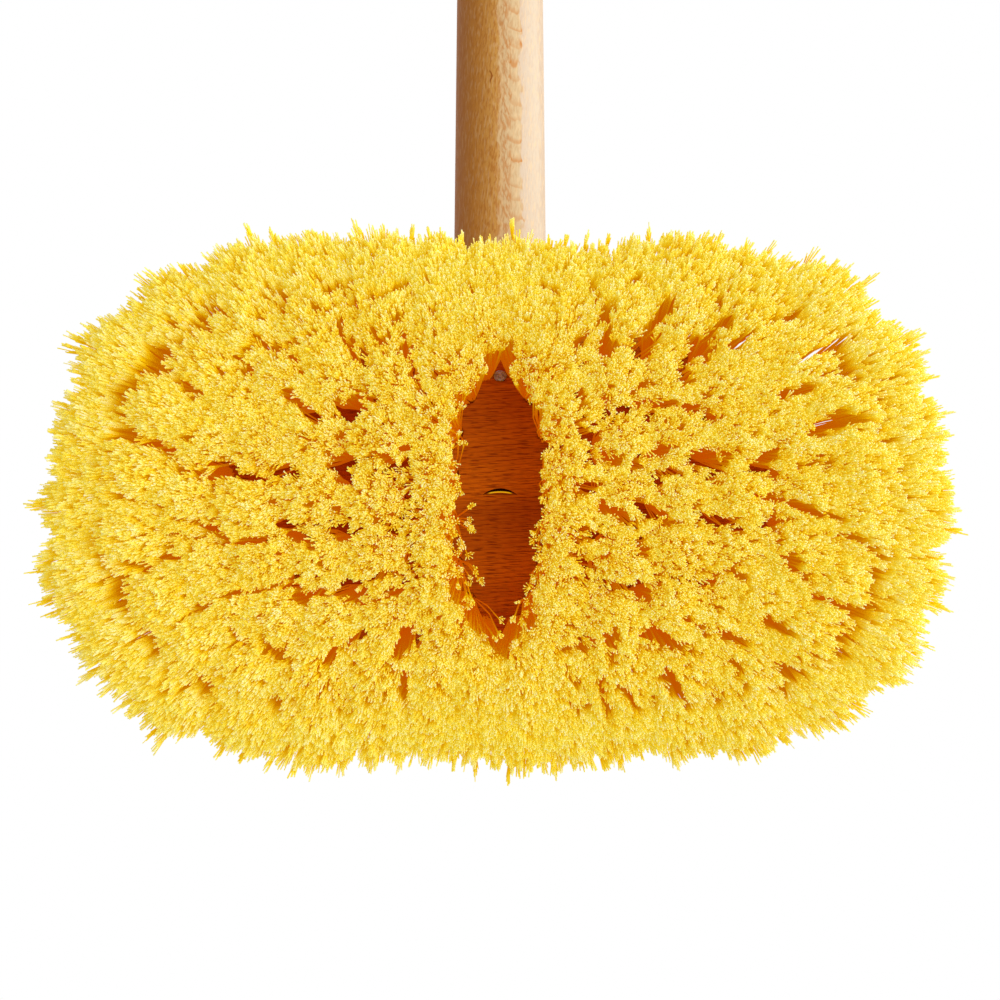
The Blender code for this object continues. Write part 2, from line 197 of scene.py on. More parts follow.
class NodeGraph:
    """A node tree, with one method that adds any node."""

    def __init__(self, tree: bpy.types.NodeTree) -> None:
        """Keeps the tree."""
        self.tree = tree

    def output(self, node: bpy.types.Node, name: str | None = None) -> Signal | None:
        """A node's named output, or its first one."""
        for socket in node.outputs:
            if socket.enabled and name in (None, socket.name):
                return (Arrow if socket.type == "VECTOR" else Signal)(self, socket)
        return None

    def feed(self, socket: bpy.types.NodeSocket, value: Any) -> None:
        """Links a signal to a socket, or sets the socket's own value."""
        if isinstance(value, Signal):
            self.tree.links.new(value.socket, socket)
        else:
            socket.default_value = value

    def add(self, kind: str, inputs: Inputs | None = None, **settings: Any) -> Signal | None:
        """Adds a node.

        Args:
            kind: The node's type.
            inputs: Values or signals by the socket's place among those in use, or by its name.
            settings: The node's own properties. stops gives a ramp's positions and colours.

        Returns:
            The node's first output, if it has one.
        """
        node = self.tree.nodes.new(kind)
        for name, value in settings.items():
            if name == "stops":
                self._set_ramp(node.color_ramp, value)
            else:
                setattr(node, name, value)
        sockets = [socket for socket in node.inputs if socket.enabled]
        for key, value in (inputs or {}).items():
            if isinstance(key, int):
                self.feed(sockets[key], value)
            else:
                self.feed(next(socket for socket in sockets if socket.name == key), value)
        return self.output(node)

    @staticmethod
    def _set_ramp(ramp: bpy.types.ColorRamp, stops: Sequence[tuple[float, Colour]]) -> None:
        """Sets a ramp's stops."""
        while len(ramp.elements) < len(stops):
            ramp.elements.new(1.0)
        for element, (position, colour) in zip(ramp.elements, stops):
            element.position = position
            element.color = (*colour, 1.0)

    def vector(self, x: Any, y: Any, z: Any) -> Signal:
        """A vector from three values."""
        return self.add("ShaderNodeCombineXYZ", {0: x, 1: y, 2: z})

    def mix(self, factor: Any, first: Any, second: Any, blend: str = "MIX") -> Signal:
        """Two colours mixed."""
        ends = [(*end, 1.0) if isinstance(end, tuple) else end for end in (first, second)]
        inputs = {"Factor": factor, "A": ends[0], "B": ends[1]}
        return self.add("ShaderNodeMix", inputs, data_type="RGBA", blend_type=blend)

    def ramp(self, value: Signal, *stops: tuple[float, Colour]) -> Signal:
        """A colour ramp."""
        return self.add("ShaderNodeValToRGB", {0: value}, stops=stops)

    def fade(self, value: Signal, start: float, end: float) -> Signal:
        """A smooth step from 0 at start to 1 at end."""
        inputs = {"Value": value, "From Min": start, "From Max": end}
        return self.add("ShaderNodeMapRange", inputs, interpolation_type="SMOOTHSTEP")

    def hump(self, value: Signal, rise: Band, fall: Band) -> Signal:
        """A smooth step up over one band and down again over another."""
        return self.fade(value, *rise) * (1.0 - self.fade(value, *fall))


@dataclass(frozen=True)
class Figure:
    """A figure in a surface, made by noise.

    Attributes:
        scales: How finely the noise varies along each axis.
        band: The values of the noise that the figure fades in between.
        strength: How strongly it shows, or how far it shifts what it acts on.
        detail: How many finer layers the noise has.
    """

    scales: Triple
    band: Band = (0.0, 1.0)
    strength: float = 1.0
    detail: float = 2.0


@dataclass(frozen=True)
class Dashes:
    """Short dashes along the grain: their size along each axis, where their noise fades in, how strongly."""

    sizes: Triple
    band: Band
    strength: float
    noise_scale: float = 3.0

    def figure(self) -> Figure:
        """The figure whose noise makes the dashes."""
        scales = tuple(1 / size / self.noise_scale for size in self.sizes)
        return Figure(scales, self.band, self.strength, detail=1.0)


class ShaderGraph(NodeGraph):
    """The nodes of a new material or of the world, from an empty tree."""

    def __init__(self, owner: bpy.types.Material | bpy.types.World) -> None:
        """Empties the owner's tree."""
        owner.use_nodes = True
        owner.node_tree.nodes.clear()
        super().__init__(owner.node_tree)
        self.owner = owner

    @classmethod
    def material(cls, name: str) -> ShaderGraph:
        """The graph of a new material."""
        return cls(bpy.data.materials.new(name))

    def object_place(self) -> Signal:
        """The place in object coordinates."""
        return self.add("ShaderNodeTexCoord")["Object"]

    def turned(self, place_in: Signal, angles: Triple) -> Signal:
        """A place turned about the origin."""
        return self.add("ShaderNodeMapping", {"Vector": place_in, "Rotation": angles})

    def noise(self, place_in: Signal, figure: Figure, scale: float = 1.0) -> Signal:
        """A figure's noise at a place."""
        inputs = {"Vector": place_in.times(figure.scales), "Scale": scale, "Detail": figure.detail}
        return self.add("ShaderNodeTexNoise", inputs)

    def shown(self, noise: Signal, figure: Figure) -> Signal:
        """How strongly a figure shows, by its noise."""
        return self.fade(noise, *figure.band) * figure.strength

    def bump(self, height: Signal, strength: float, distance: float) -> Signal:
        """A normal from a height."""
        inputs = {"Strength": strength, "Distance": distance, "Height": height}
        return self.add("ShaderNodeBump", inputs)

    def principled(self, inputs: Inputs) -> bpy.types.Material:
        """Ends the material in a Principled shader, and returns it."""
        shader = self.add("ShaderNodeBsdfPrincipled", inputs)
        self.add("ShaderNodeOutputMaterial", {"Surface": shader})
        return self.owner


class GeometryGraph(NodeGraph):
    """A Geometry Nodes tree with named inputs, which bakes plain meshes."""

    def __init__(self, name: str) -> None:
        """Makes an empty tree that takes and gives geometry."""
        super().__init__(bpy.data.node_groups.new(name, "GeometryNodeTree"))
        for in_out in ("INPUT", "OUTPUT"):
            self.tree.interface.new_socket("Geometry", in_out=in_out, socket_type="NodeSocketGeometry")
        self.group_input = self.tree.nodes.new("NodeGroupInput")
        self.geometry = self.output(self.group_input, "Geometry")

    def size(self, name: str, whole: bool = False) -> Signal:
        """A named input of the tree."""
        kind = "NodeSocketInt" if whole else "NodeSocketFloat"
        self.tree.interface.new_socket(name, in_out="INPUT", socket_type=kind)
        return self.output(self.group_input, name)

    def attribute(self, name: str, kind: str = "FLOAT_VECTOR") -> Signal:
        """A named attribute of the geometry."""
        return self.add("GeometryNodeInputNamedAttribute", {"Name": name}, data_type=kind)

    def random(self, low: Any, high: Any, seed: Signal, kind: str = "FLOAT") -> Signal:
        """A random value for each element."""
        return self.add("FunctionNodeRandomValue", {"Min": low, "Max": high, "Seed": seed}, data_type=kind)

    def finish(self, geometry: Signal, material: bpy.types.Material) -> None:
        """Ends the tree in real geometry with its material."""
        real = self.add("GeometryNodeRealizeInstances", {"Geometry": geometry})
        dressed = self.add("GeometryNodeSetMaterial", {"Geometry": real, "Material": material})
        self.add("NodeGroupOutput", {"Geometry": dressed})

    def bake(self, name: str, mesh: bpy.types.Mesh, sizes: Mapping[str, float]) -> bpy.types.Object:
        """Runs the tree on a mesh.

        Args:
            name: The new object's name.
            mesh: What the tree starts from.
            sizes: The value of each named input.

        Returns:
            An object that holds the result as a plain mesh.
        """
        made = bpy.data.objects.new(name, mesh)
        bpy.context.collection.objects.link(made)
        modifier = made.modifiers.new(self.tree.name, "NODES")
        modifier.node_group = self.tree
        for item in self.tree.interface.items_tree:
            if item.in_out == "INPUT" and item.name in sizes:
                modifier[item.identifier] = sizes[item.name]
        return bake_modifiers(made)


def bake_modifiers(made: bpy.types.Object) -> bpy.types.Object:
    """Gives an object the mesh that its modifiers make, and removes them."""
    graph = bpy.context.evaluated_depsgraph_get()
    baked = bpy.data.meshes.new_from_object(
        made.evaluated_get(graph), preserve_all_data_layers=True, depsgraph=graph
    )
    made.modifiers.clear()
    made.data = baked
    baked.name = made.name
    return made


def add_object(name: str, builder: bmesh.types.BMesh, material: bpy.types.Material) -> bpy.types.Object:
    """A mesh object from a bmesh, with its faces turned outwards."""
    bmesh.ops.recalc_face_normals(builder, faces=builder.faces)
    mesh = bpy.data.meshes.new(name)
    builder.to_mesh(mesh)
    builder.free()
    mesh.materials.append(material)
    made = bpy.data.objects.new(name, mesh)
    bpy.context.collection.objects.link(made)
    return made


def cut(piece: bpy.types.Object, cutter: bpy.types.Object) -> None:
    """Takes a cutter's volume out of a piece, and removes the cutter."""
    modifier = piece.modifiers.new(cutter.name, "BOOLEAN")
    modifier.operation = "DIFFERENCE"
    modifier.solver = "EXACT"
    modifier.object = cutter
    bake_modifiers(piece)
    bpy.data.objects.remove(cutter)


def keep_piece(piece: bpy.types.Object, slot: str, *nodes: str) -> None:
    """Puts a finished piece on the body, in place of its solids.

    Args:
        piece: The finished object.
        slot: The record's material slot; not used.
        nodes: The solids that it stands for.
    """
    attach(piece, BODY)
    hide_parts(*nodes)
    log.info("%s: %d faces", piece.name, len(piece.data.polygons))


def skin_loops(builder: bmesh.types.BMesh, loops: Iterable[Sequence[Vector]]) -> None:
    """Joins closed loops of equally many points, one after another, and closes both ends."""
    rings = [[builder.verts.new(point) for point in loop] for loop in loops]
    count = len(rings[0])
    for lower, upper in zip(rings, rings[1:]):
        for i in range(count):
            following = (i + 1) % count
            builder.faces.new((lower[i], lower[following], upper[following], upper[i]))
    builder.faces.new(rings[0])
    builder.faces.new(rings[-1])


def add_rod(
    builder: bmesh.types.BMesh, frame: Matrix, stations: Sequence[tuple[float, float]], sides: int
) -> None:
    """Adds a closed turned solid.

    Args:
        builder: What the solid is added to.
        frame: The place of the solid's axis, which is its Z.
        stations: The (radius, height) pairs that it runs through.
        sides: How many sides it has.
    """
    turns = [2 * math.pi * i / sides for i in range(sides)]
    loops = []
    for radius, height in stations:
        loops.append([frame @ Vector((radius * math.cos(a), radius * math.sin(a), height)) for a in turns])
    skin_loops(builder, loops)


def fillet(before: Vector, corner: Vector, after: Vector, radius: float, steps: int) -> list[Vector]:
    """A corner of a flat outline as an arc.

    Args:
        before: The outline's point before the corner.
        corner: The corner.
        after: The outline's point after the corner.
        radius: The arc's radius.
        steps: How many pieces the arc has.

    Returns:
        The arc's points.
    """
    back, on = (before - corner).normalized(), (after - corner).normalized()
    half = back.angle(on) / 2
    centre = corner + (back + on).normalized() * (radius / math.sin(half))
    first = (corner + back * (radius / math.tan(half)) - centre).normalized()
    last = (corner + on * (radius / math.tan(half)) - centre).normalized()
    return [centre + first.slerp(last, i / steps) * radius for i in range(steps + 1)]


@dataclass(frozen=True)
class BlockForm:
    """The block's sizes, and the places on it that its tufts, its handle and its nail follow."""

    clearance: float = 0.0003
    spine_half: float = 0.0387
    underside_radius: float = 0.0295
    bevel_width: float = 0.014
    bevel_angle: float = math.radians(40)
    thickness: float = 0.032
    lower_rounding: float = 0.0009
    side_rounding: float = 0.0016
    top_rounding: float = 0.0055
    rounding_steps: int = 8
    end_steps: int = 56
    tuft_radius: float = 0.0028
    hole_radius: float = 0.0026
    hole_depth: float = 0.003
    hole_sides: int = 14
    nail_slope: float = 0.0024
    nail_hole_radius: float = 0.0013
    nail_hole_depth: float = 0.0278
    overrun: float = 0.001

    @property
    def radius(self) -> float:
        """The block's outer radius about its spine."""
        return self.underside_radius + self.bevel_width

    @property
    def slope_length(self) -> float:
        """The width of the sloping edge along the slope."""
        return self.bevel_width / math.cos(self.bevel_angle)

    @property
    def flat_reach(self) -> float:
        """How far from the spine a tuft just fits on the flat."""
        return self.underside_radius - self.tuft_radius

    def slope_point(self, along: float, depth: float = 0.0) -> tuple[float, float]:
        """The (radius, height) of a place on the slope, at a depth into the wood."""
        level, rise = math.cos(self.bevel_angle), math.sin(self.bevel_angle)
        return self.underside_radius + along * level - depth * rise, along * rise + depth * level

    def nail_hole(self, material: bpy.types.Material) -> bpy.types.Object:
        """The cutter for the nail's hole, through the slope into the block and the handle."""
        radius, height = self.slope_point(self.nail_slope)
        inward = Vector((0, -math.sin(self.bevel_angle), math.cos(self.bevel_angle)))
        seat = Matrix.Translation((0, radius, height)) @ inward.to_track_quat("Z", "Y").to_matrix().to_4x4()
        builder = bmesh.new()
        stations = [(self.nail_hole_radius, -self.overrun), (self.nail_hole_radius, self.nail_hole_depth)]
        add_rod(builder, seat, stations, self.hole_sides)
        return add_object("nail_hole", builder, material)

    def outline(self, radius: float, height: float) -> list[Vector]:
        """The block's oval outline at a radius from the spine."""
        points = []
        for side, start in ((Side.RIGHT, -math.pi / 2), (Side.LEFT, math.pi / 2)):
            for i in range(self.end_steps + 1):
                bearing = start + math.pi * i / self.end_steps
                points.append(place(side.value * self.spine_half, bearing, radius, height))
        return points

    def profile(self) -> list[Vector]:
        """The block's section from its underside over its edge to its top, as (radius, height) points."""
        corners = [
            Vector((self.underside_radius / 2, 0)),
            Vector((self.underside_radius, 0)),
            Vector(self.slope_point(self.slope_length)),
            Vector((self.radius, self.thickness)),
            Vector((self.underside_radius / 2, self.thickness)),
        ]
        radii = (self.lower_rounding, self.side_rounding, self.top_rounding)
        points = [corners[0]]
        for i, radius in enumerate(radii, 1):
            points += fillet(corners[i - 1], corners[i], corners[i + 1], radius, self.rounding_steps)
        return points + [corners[-1]]


def place(spine_x: float, bearing: float, radius: float, height: float) -> Vector:
    """A point at a radius from the spine, at a bearing counted from +X towards +Y."""
    return Vector((spine_x + radius * math.cos(bearing), radius * math.sin(bearing), height))


@dataclass(frozen=True)
class HandleForm:
    """The handle's sizes, and where its hole breaks through the block's underside."""

    angle: float = math.radians(45)
    diameter: float = 0.0254
    length: float = 1.22
    tip_diameter: float = 0.0188
    taper_length: float = 0.060
    dome_height: float = 0.009
    breakthrough_y: float = 0.00165
    breakthrough_depth: float = 0.000775
    sides: int = 96
    rows: int = 160
    end_share: float = 0.14
    hole_overrun: float = 0.02

    def hole_frame(self, clearance: float) -> Matrix:
        """The hole's lower end, with Z up the handle."""
        up = Vector((0, math.cos(self.angle), math.sin(self.angle)))
        down_side = Vector((0, math.sin(self.angle), -math.cos(self.angle)))
        corner = Vector((0, self.breakthrough_y, -self.breakthrough_depth))
        turn = up.to_track_quat("Z", "Y").to_matrix().to_4x4()
        return Matrix.Translation(corner - down_side * (self.tip_diameter / 2 + clearance)) @ turn

    def hole_stations(self, clearance: float) -> list[tuple[float, float]]:
        """The tapered hole's (radius, height) pairs."""
        wide = self.diameter / 2 + clearance
        return [
            (self.tip_diameter / 2 + clearance, 0),
            (wide, self.taper_length),
            (wide, self.taper_length + self.hole_overrun),
        ]


@dataclass(frozen=True)
class Tuft:
    """One tuft: its piece, its root and end, and how its root and its end spread."""

    node: str
    root: Vector
    tip: Vector
    root_u: Vector
    root_v: Vector
    tip_u: Vector
    tip_v: Vector

    @property
    def into_wood(self) -> Vector:
        """The direction of the tuft's hole."""
        return self.root_u.cross(self.root_v).normalized()


@dataclass(frozen=True)
class Ring:
    """One ring of tufts on the sloping edge.

    Attributes:
        name: The ring's name in its pieces' names.
        slope_share: Where the ring stands, as a share of the slope.
        end_tufts: How many tufts stand between the ends of the straight parts.
        splay: How much further out the ends are than the roots.
        around_spread: How far an end spreads along the ring.
        outward_spread: How far an end spreads outwards.
        outward_rise: How much an end rises there.
        lift: How much higher the ends are than the inner tufts' ends.
        corner_sway: How much further out the ends are at the four corners.
        side_sway: How much further out the ends are along the straight sides.
    """

    name: str
    slope_share: float
    end_tufts: int
    splay: float
    around_spread: float
    outward_spread: float
    outward_rise: float = 0.0
    lift: float = 0.0
    corner_sway: float = 0.0
    side_sway: float = 0.0


@dataclass(frozen=True)
class TuftLayout:
    """Where the tufts stand in the block, and how far apart their ends lie."""

    block: BlockForm
    fan_share: float = 1.216
    trim_length: float = 0.052
    root_radius: float = 0.0023
    end_radius: float = 0.0086
    centre_half: float = 0.0130
    centre_end_radius: float = 0.0098
    centre_shift: float = 0.0012
    centre_shares: tuple = ((1, 0.217), (0.923, 0.637), (0.654, 1))
    row_pitch_share: float = 0.4645
    row_shares: tuple = ((0.410, 0.599, 0.783), (0.390, 0.581, 0.769), (0.352, 0.535, 0.696))
    row_letters: str = "cdefg"
    end_track_share: float = 0.985
    outer_row_last_share: float = 0.768
    ring_tuft_shares: tuple = (0.119, 0.328, 0.654)
    rings: tuple[Ring, ...] = (
        Ring(
            name="inner_ring",
            slope_share=0.263,
            end_tufts=8,
            splay=0.0118,
            around_spread=0.0096,
            outward_spread=0.0090,
        ),
        Ring(
            name="outer_ring",
            slope_share=0.75,
            end_tufts=9,
            splay=0.0204,
            around_spread=0.0117,
            outward_spread=0.0080,
            outward_rise=0.0044,
            lift=0.0055,
            corner_sway=0.0024,
            side_sway=-0.0026,
        ),
    )
    wander: float = 0.0016
    trim_wander: float = 0.0011
    spread_wander: float = 0.07
    seed: int = 4
    end_half: tuple[float, float] = (0.112, 0.062)
    corner_leans: tuple = (((1, -1), (0.0005, -0.0046)), ((-1, -1), (0.0016, 0.0004)))

    def tufts(self) -> Iterator[Tuft]:
        """Every tuft of the brush, each leaning and spreading a little of its own."""
        draw = random.Random(self.seed)
        for tuft in self._even_tufts():
            lean = Vector((draw.uniform(-1, 1), draw.uniform(-1, 1), 0)) * self.wander
            lean.z = draw.uniform(-1, 1) * self.trim_wander
            size = 1 + draw.uniform(-1, 1) * self.spread_wander
            tip = tuft.tip + lean + self._corner_lean(tuft.tip)
            yield replace(tuft, tip=tip, tip_u=tuft.tip_u * size, tip_v=tuft.tip_v * size)

    def _corner_lean(self, tip: Vector) -> Vector:
        """How far the pile leans at an end: what its leaning corners lean, blended, and less inwards."""
        across, along = tip.x / self.end_half[0], tip.y / self.end_half[1]
        lean = Vector((0, 0, 0))
        for (sign_x, sign_y), shift in self.corner_leans:
            lean += Vector((*shift, 0)) * (1 + sign_x * across) * (1 + sign_y * along) / 4
        return lean * min(1.0, max(abs(across), abs(along))) ** 2

    def _even_tufts(self) -> Iterator[Tuft]:
        """Every tuft, evenly laid out."""
        for side in Side:
            yield from self._centre(side)
            for row in range(-2, 3):
                yield from self._row(side, row)
        for ring in self.rings:
            yield from self._ring(ring)

    def _flat(self, node: str, x: float, y: float, end_radius: float, shift: float = 0.0) -> Tuft:
        """A tuft on the flat underside, whose end spreads to a radius and is shifted along X."""
        along, across = Vector((1, 0, 0)), Vector((0, 1, 0))
        tip = Vector((x * self.fan_share + shift, y * self.fan_share, -self.trim_length))
        root = Vector((x, y, 0))
        spread = (along * self.root_radius, across * self.root_radius)
        return Tuft(node, root, tip, *spread, along * end_radius, across * end_radius)

    def _centre(self, side: Side) -> Iterator[Tuft]:
        """The tufts along one side of the open centre."""
        for across, along in self.centre_shares:
            for sign in (1, -1):
                x, y = side.value * self.centre_half * across, sign * self.block.flat_reach * along
                shift = side.value * self.centre_shift
                yield self._flat(f"bristles_centre_{side.word}", x, y, self.centre_end_radius, shift)

    def _row(self, side: Side, row: int) -> Iterator[Tuft]:
        """The tufts of one straight row on one side."""
        reach = self.block.flat_reach
        node = f"bristles_row_{self.row_letters[row + 2]}_{side.word}"
        sign = -1 if row < 0 else 1
        y = abs(row) * reach * self.row_pitch_share
        for share in self.row_shares[abs(row)]:
            x = side.value * (self.block.spine_half + reach) * share
            yield self._flat(node, x, sign * y, self.end_radius)
        last_y = reach * self.outer_row_last_share if abs(row) == 2 else y
        last_x = self.block.spine_half + math.sqrt((reach * self.end_track_share) ** 2 - last_y**2)
        yield self._flat(node, side.value * last_x, sign * last_y, self.end_radius)

    def _ring_stations(self, end_tufts: int) -> Iterator[tuple[str, float, float]]:
        """Each tuft of a ring: its piece's last word, its point on the spine and its bearing from there."""
        for label, bearing in (("handle_side", math.pi / 2), ("far_side", -math.pi / 2)):
            for side in Side:
                for share in self.ring_tuft_shares:
                    yield label, side.value * self.block.spine_half * share, bearing
        for side in Side:
            for i in range(end_tufts + 2):
                bearing = math.pi * i / (end_tufts + 1) - math.pi / 2
                turned = bearing if side is Side.RIGHT else math.pi - bearing
                yield side.word, side.value * self.block.spine_half, turned

    def _ring(self, ring: Ring) -> Iterator[Tuft]:
        """The tufts of one ring on the sloping edge."""
        slope = self.block.bevel_angle
        root_radius, root_height = self.block.slope_point(self.block.slope_length * ring.slope_share)
        for label, spine_x, bearing in self._ring_stations(ring.end_tufts):
            outward = Vector((math.cos(bearing), math.sin(bearing), 0))
            around = Vector((-outward.y, outward.x, 0))
            uphill = outward * math.cos(slope) + Vector((0, 0, math.sin(slope)))
            extra = ring.corner_sway * math.sin(2 * bearing) ** 2 + ring.side_sway * math.sin(bearing) ** 4
            tip_radius = root_radius + ring.splay + extra
            yield Tuft(
                f"bristles_{ring.name}_{label}",
                place(spine_x, bearing, root_radius, root_height),
                place(spine_x * self.fan_share, bearing, tip_radius, ring.lift - self.trim_length),
                uphill * self.root_radius,
                around * self.root_radius,
                outward * ring.outward_spread + Vector((0, 0, ring.outward_rise)),
                around * ring.around_spread,
            )


@dataclass(frozen=True)
class Beech:
    """The block's beech: pale bands between darker growth lines, short ray flecks and fine pores, with
    painted orange shade on its underside and slope.
    """

    name: str
    pale: Colour = (0.75, 0.43, 0.155)
    growth: Colour = (0.37, 0.135, 0.036)
    fleck: Colour = (0.17, 0.04, 0.006)
    # Painted shade: the underside and the slope are multiplied to a deep orange, standing in for the
    # orange-tinted shade among the bristles.
    underside: Colour = (1.0, 0.60, 0.008)
    underside_band: Band = (0.0100, 0.0120)
    grain_turn: Triple = (0.0, math.radians(-90), 0.0)
    pith: tuple[float, float] = (-0.017, 0.0495)
    ring_spacing: float = 0.0012
    ring_rise: Band = (0.45, 0.93)
    ring_fall: Band = (0.93, 1.0)
    ring_strength: float = 0.46
    runout: float = -0.083
    sway: Figure = Figure((60.0, 60.0, 14.0), strength=0.0016)
    ripple: Figure = Figure((420.0, 420.0, 95.0), strength=0.00025)
    cloud: Figure = Figure((70.0, 70.0, 9.0), (0.35, 0.70), 0.58)
    flecks: Dashes = Dashes((0.00028, 0.00028, 0.00403), (0.52, 0.66), 0.62)
    pores: Dashes = Dashes((0.00018, 0.00018, 0.00217), (0.55, 0.75), 0.22)
    relief: Triple = (0.5, 0.7, 0.3)
    bump_strength: float = 0.35
    bump_distance: float = 0.0002
    roughness: float = 0.46
    cloud_roughness: float = 0.12
    pore_roughness: float = 0.15
    specular: float = 0.05

    def material(self) -> bpy.types.Material:
        """The wood's material, on object coordinates."""
        graph = ShaderGraph.material(self.name)
        place_in = graph.object_place()
        local = graph.turned(place_in, self.grain_turn)
        ripple, cloud = graph.noise(local, self.ripple), graph.noise(local, self.cloud)
        flecks, pores = self._dashed(graph, local, self.flecks), self._dashed(graph, local, self.pores)

        line = self._growth_lines(graph, local, ripple)
        colour = graph.mix(line * self.ring_strength, self.pale, self.growth)
        colour = graph.mix(graph.shown(cloud, self.cloud), colour, self.growth)
        colour = graph.mix(flecks * self.flecks.strength, colour, self.fleck)
        colour = graph.mix(pores * self.pores.strength, colour, self.fleck)
        # Painted shade: deep orange on the underside and the slope, fading out by the top of the slope.
        low = 1.0 - graph.fade(place_in.split()[2], *self.underside_band)
        colour = graph.mix(low, colour, graph.mix(1.0, colour, self.underside, "MULTIPLY"))

        ripple_height, pore_depth, fleck_depth = self.relief
        height = ripple * ripple_height - pores * pore_depth - flecks * fleck_depth
        roughness = self.roughness + cloud * self.cloud_roughness + pores * self.pore_roughness
        return graph.principled(
            {
                "Base Color": colour,
                "Roughness": roughness,
                "Normal": graph.bump(height, self.bump_strength, self.bump_distance),
                "Specular IOR Level": self.specular,
            }
        )

    def _growth_lines(self, graph: ShaderGraph, local: Signal, ripple: Signal) -> Signal:
        """The darker lines about the pith, from 0 between them to 1 on them."""
        x, y, z = local.split()
        off_pith = graph.vector(x - self.pith[0], y - self.pith[1], 0.0).length()
        sway = graph.noise(local, self.sway)
        rings = off_pith + z * self.runout + sway * self.sway.strength + ripple * self.ripple.strength
        return graph.hump((rings / self.ring_spacing).call("FRACT"), self.ring_rise, self.ring_fall)

    @staticmethod
    def _dashed(graph: ShaderGraph, local: Signal, dashes: Dashes) -> Signal:
        """Where dashes lie, from 0 between them to 1 on them."""
        return graph.fade(graph.noise(local, dashes.figure(), dashes.noise_scale), *dashes.band)


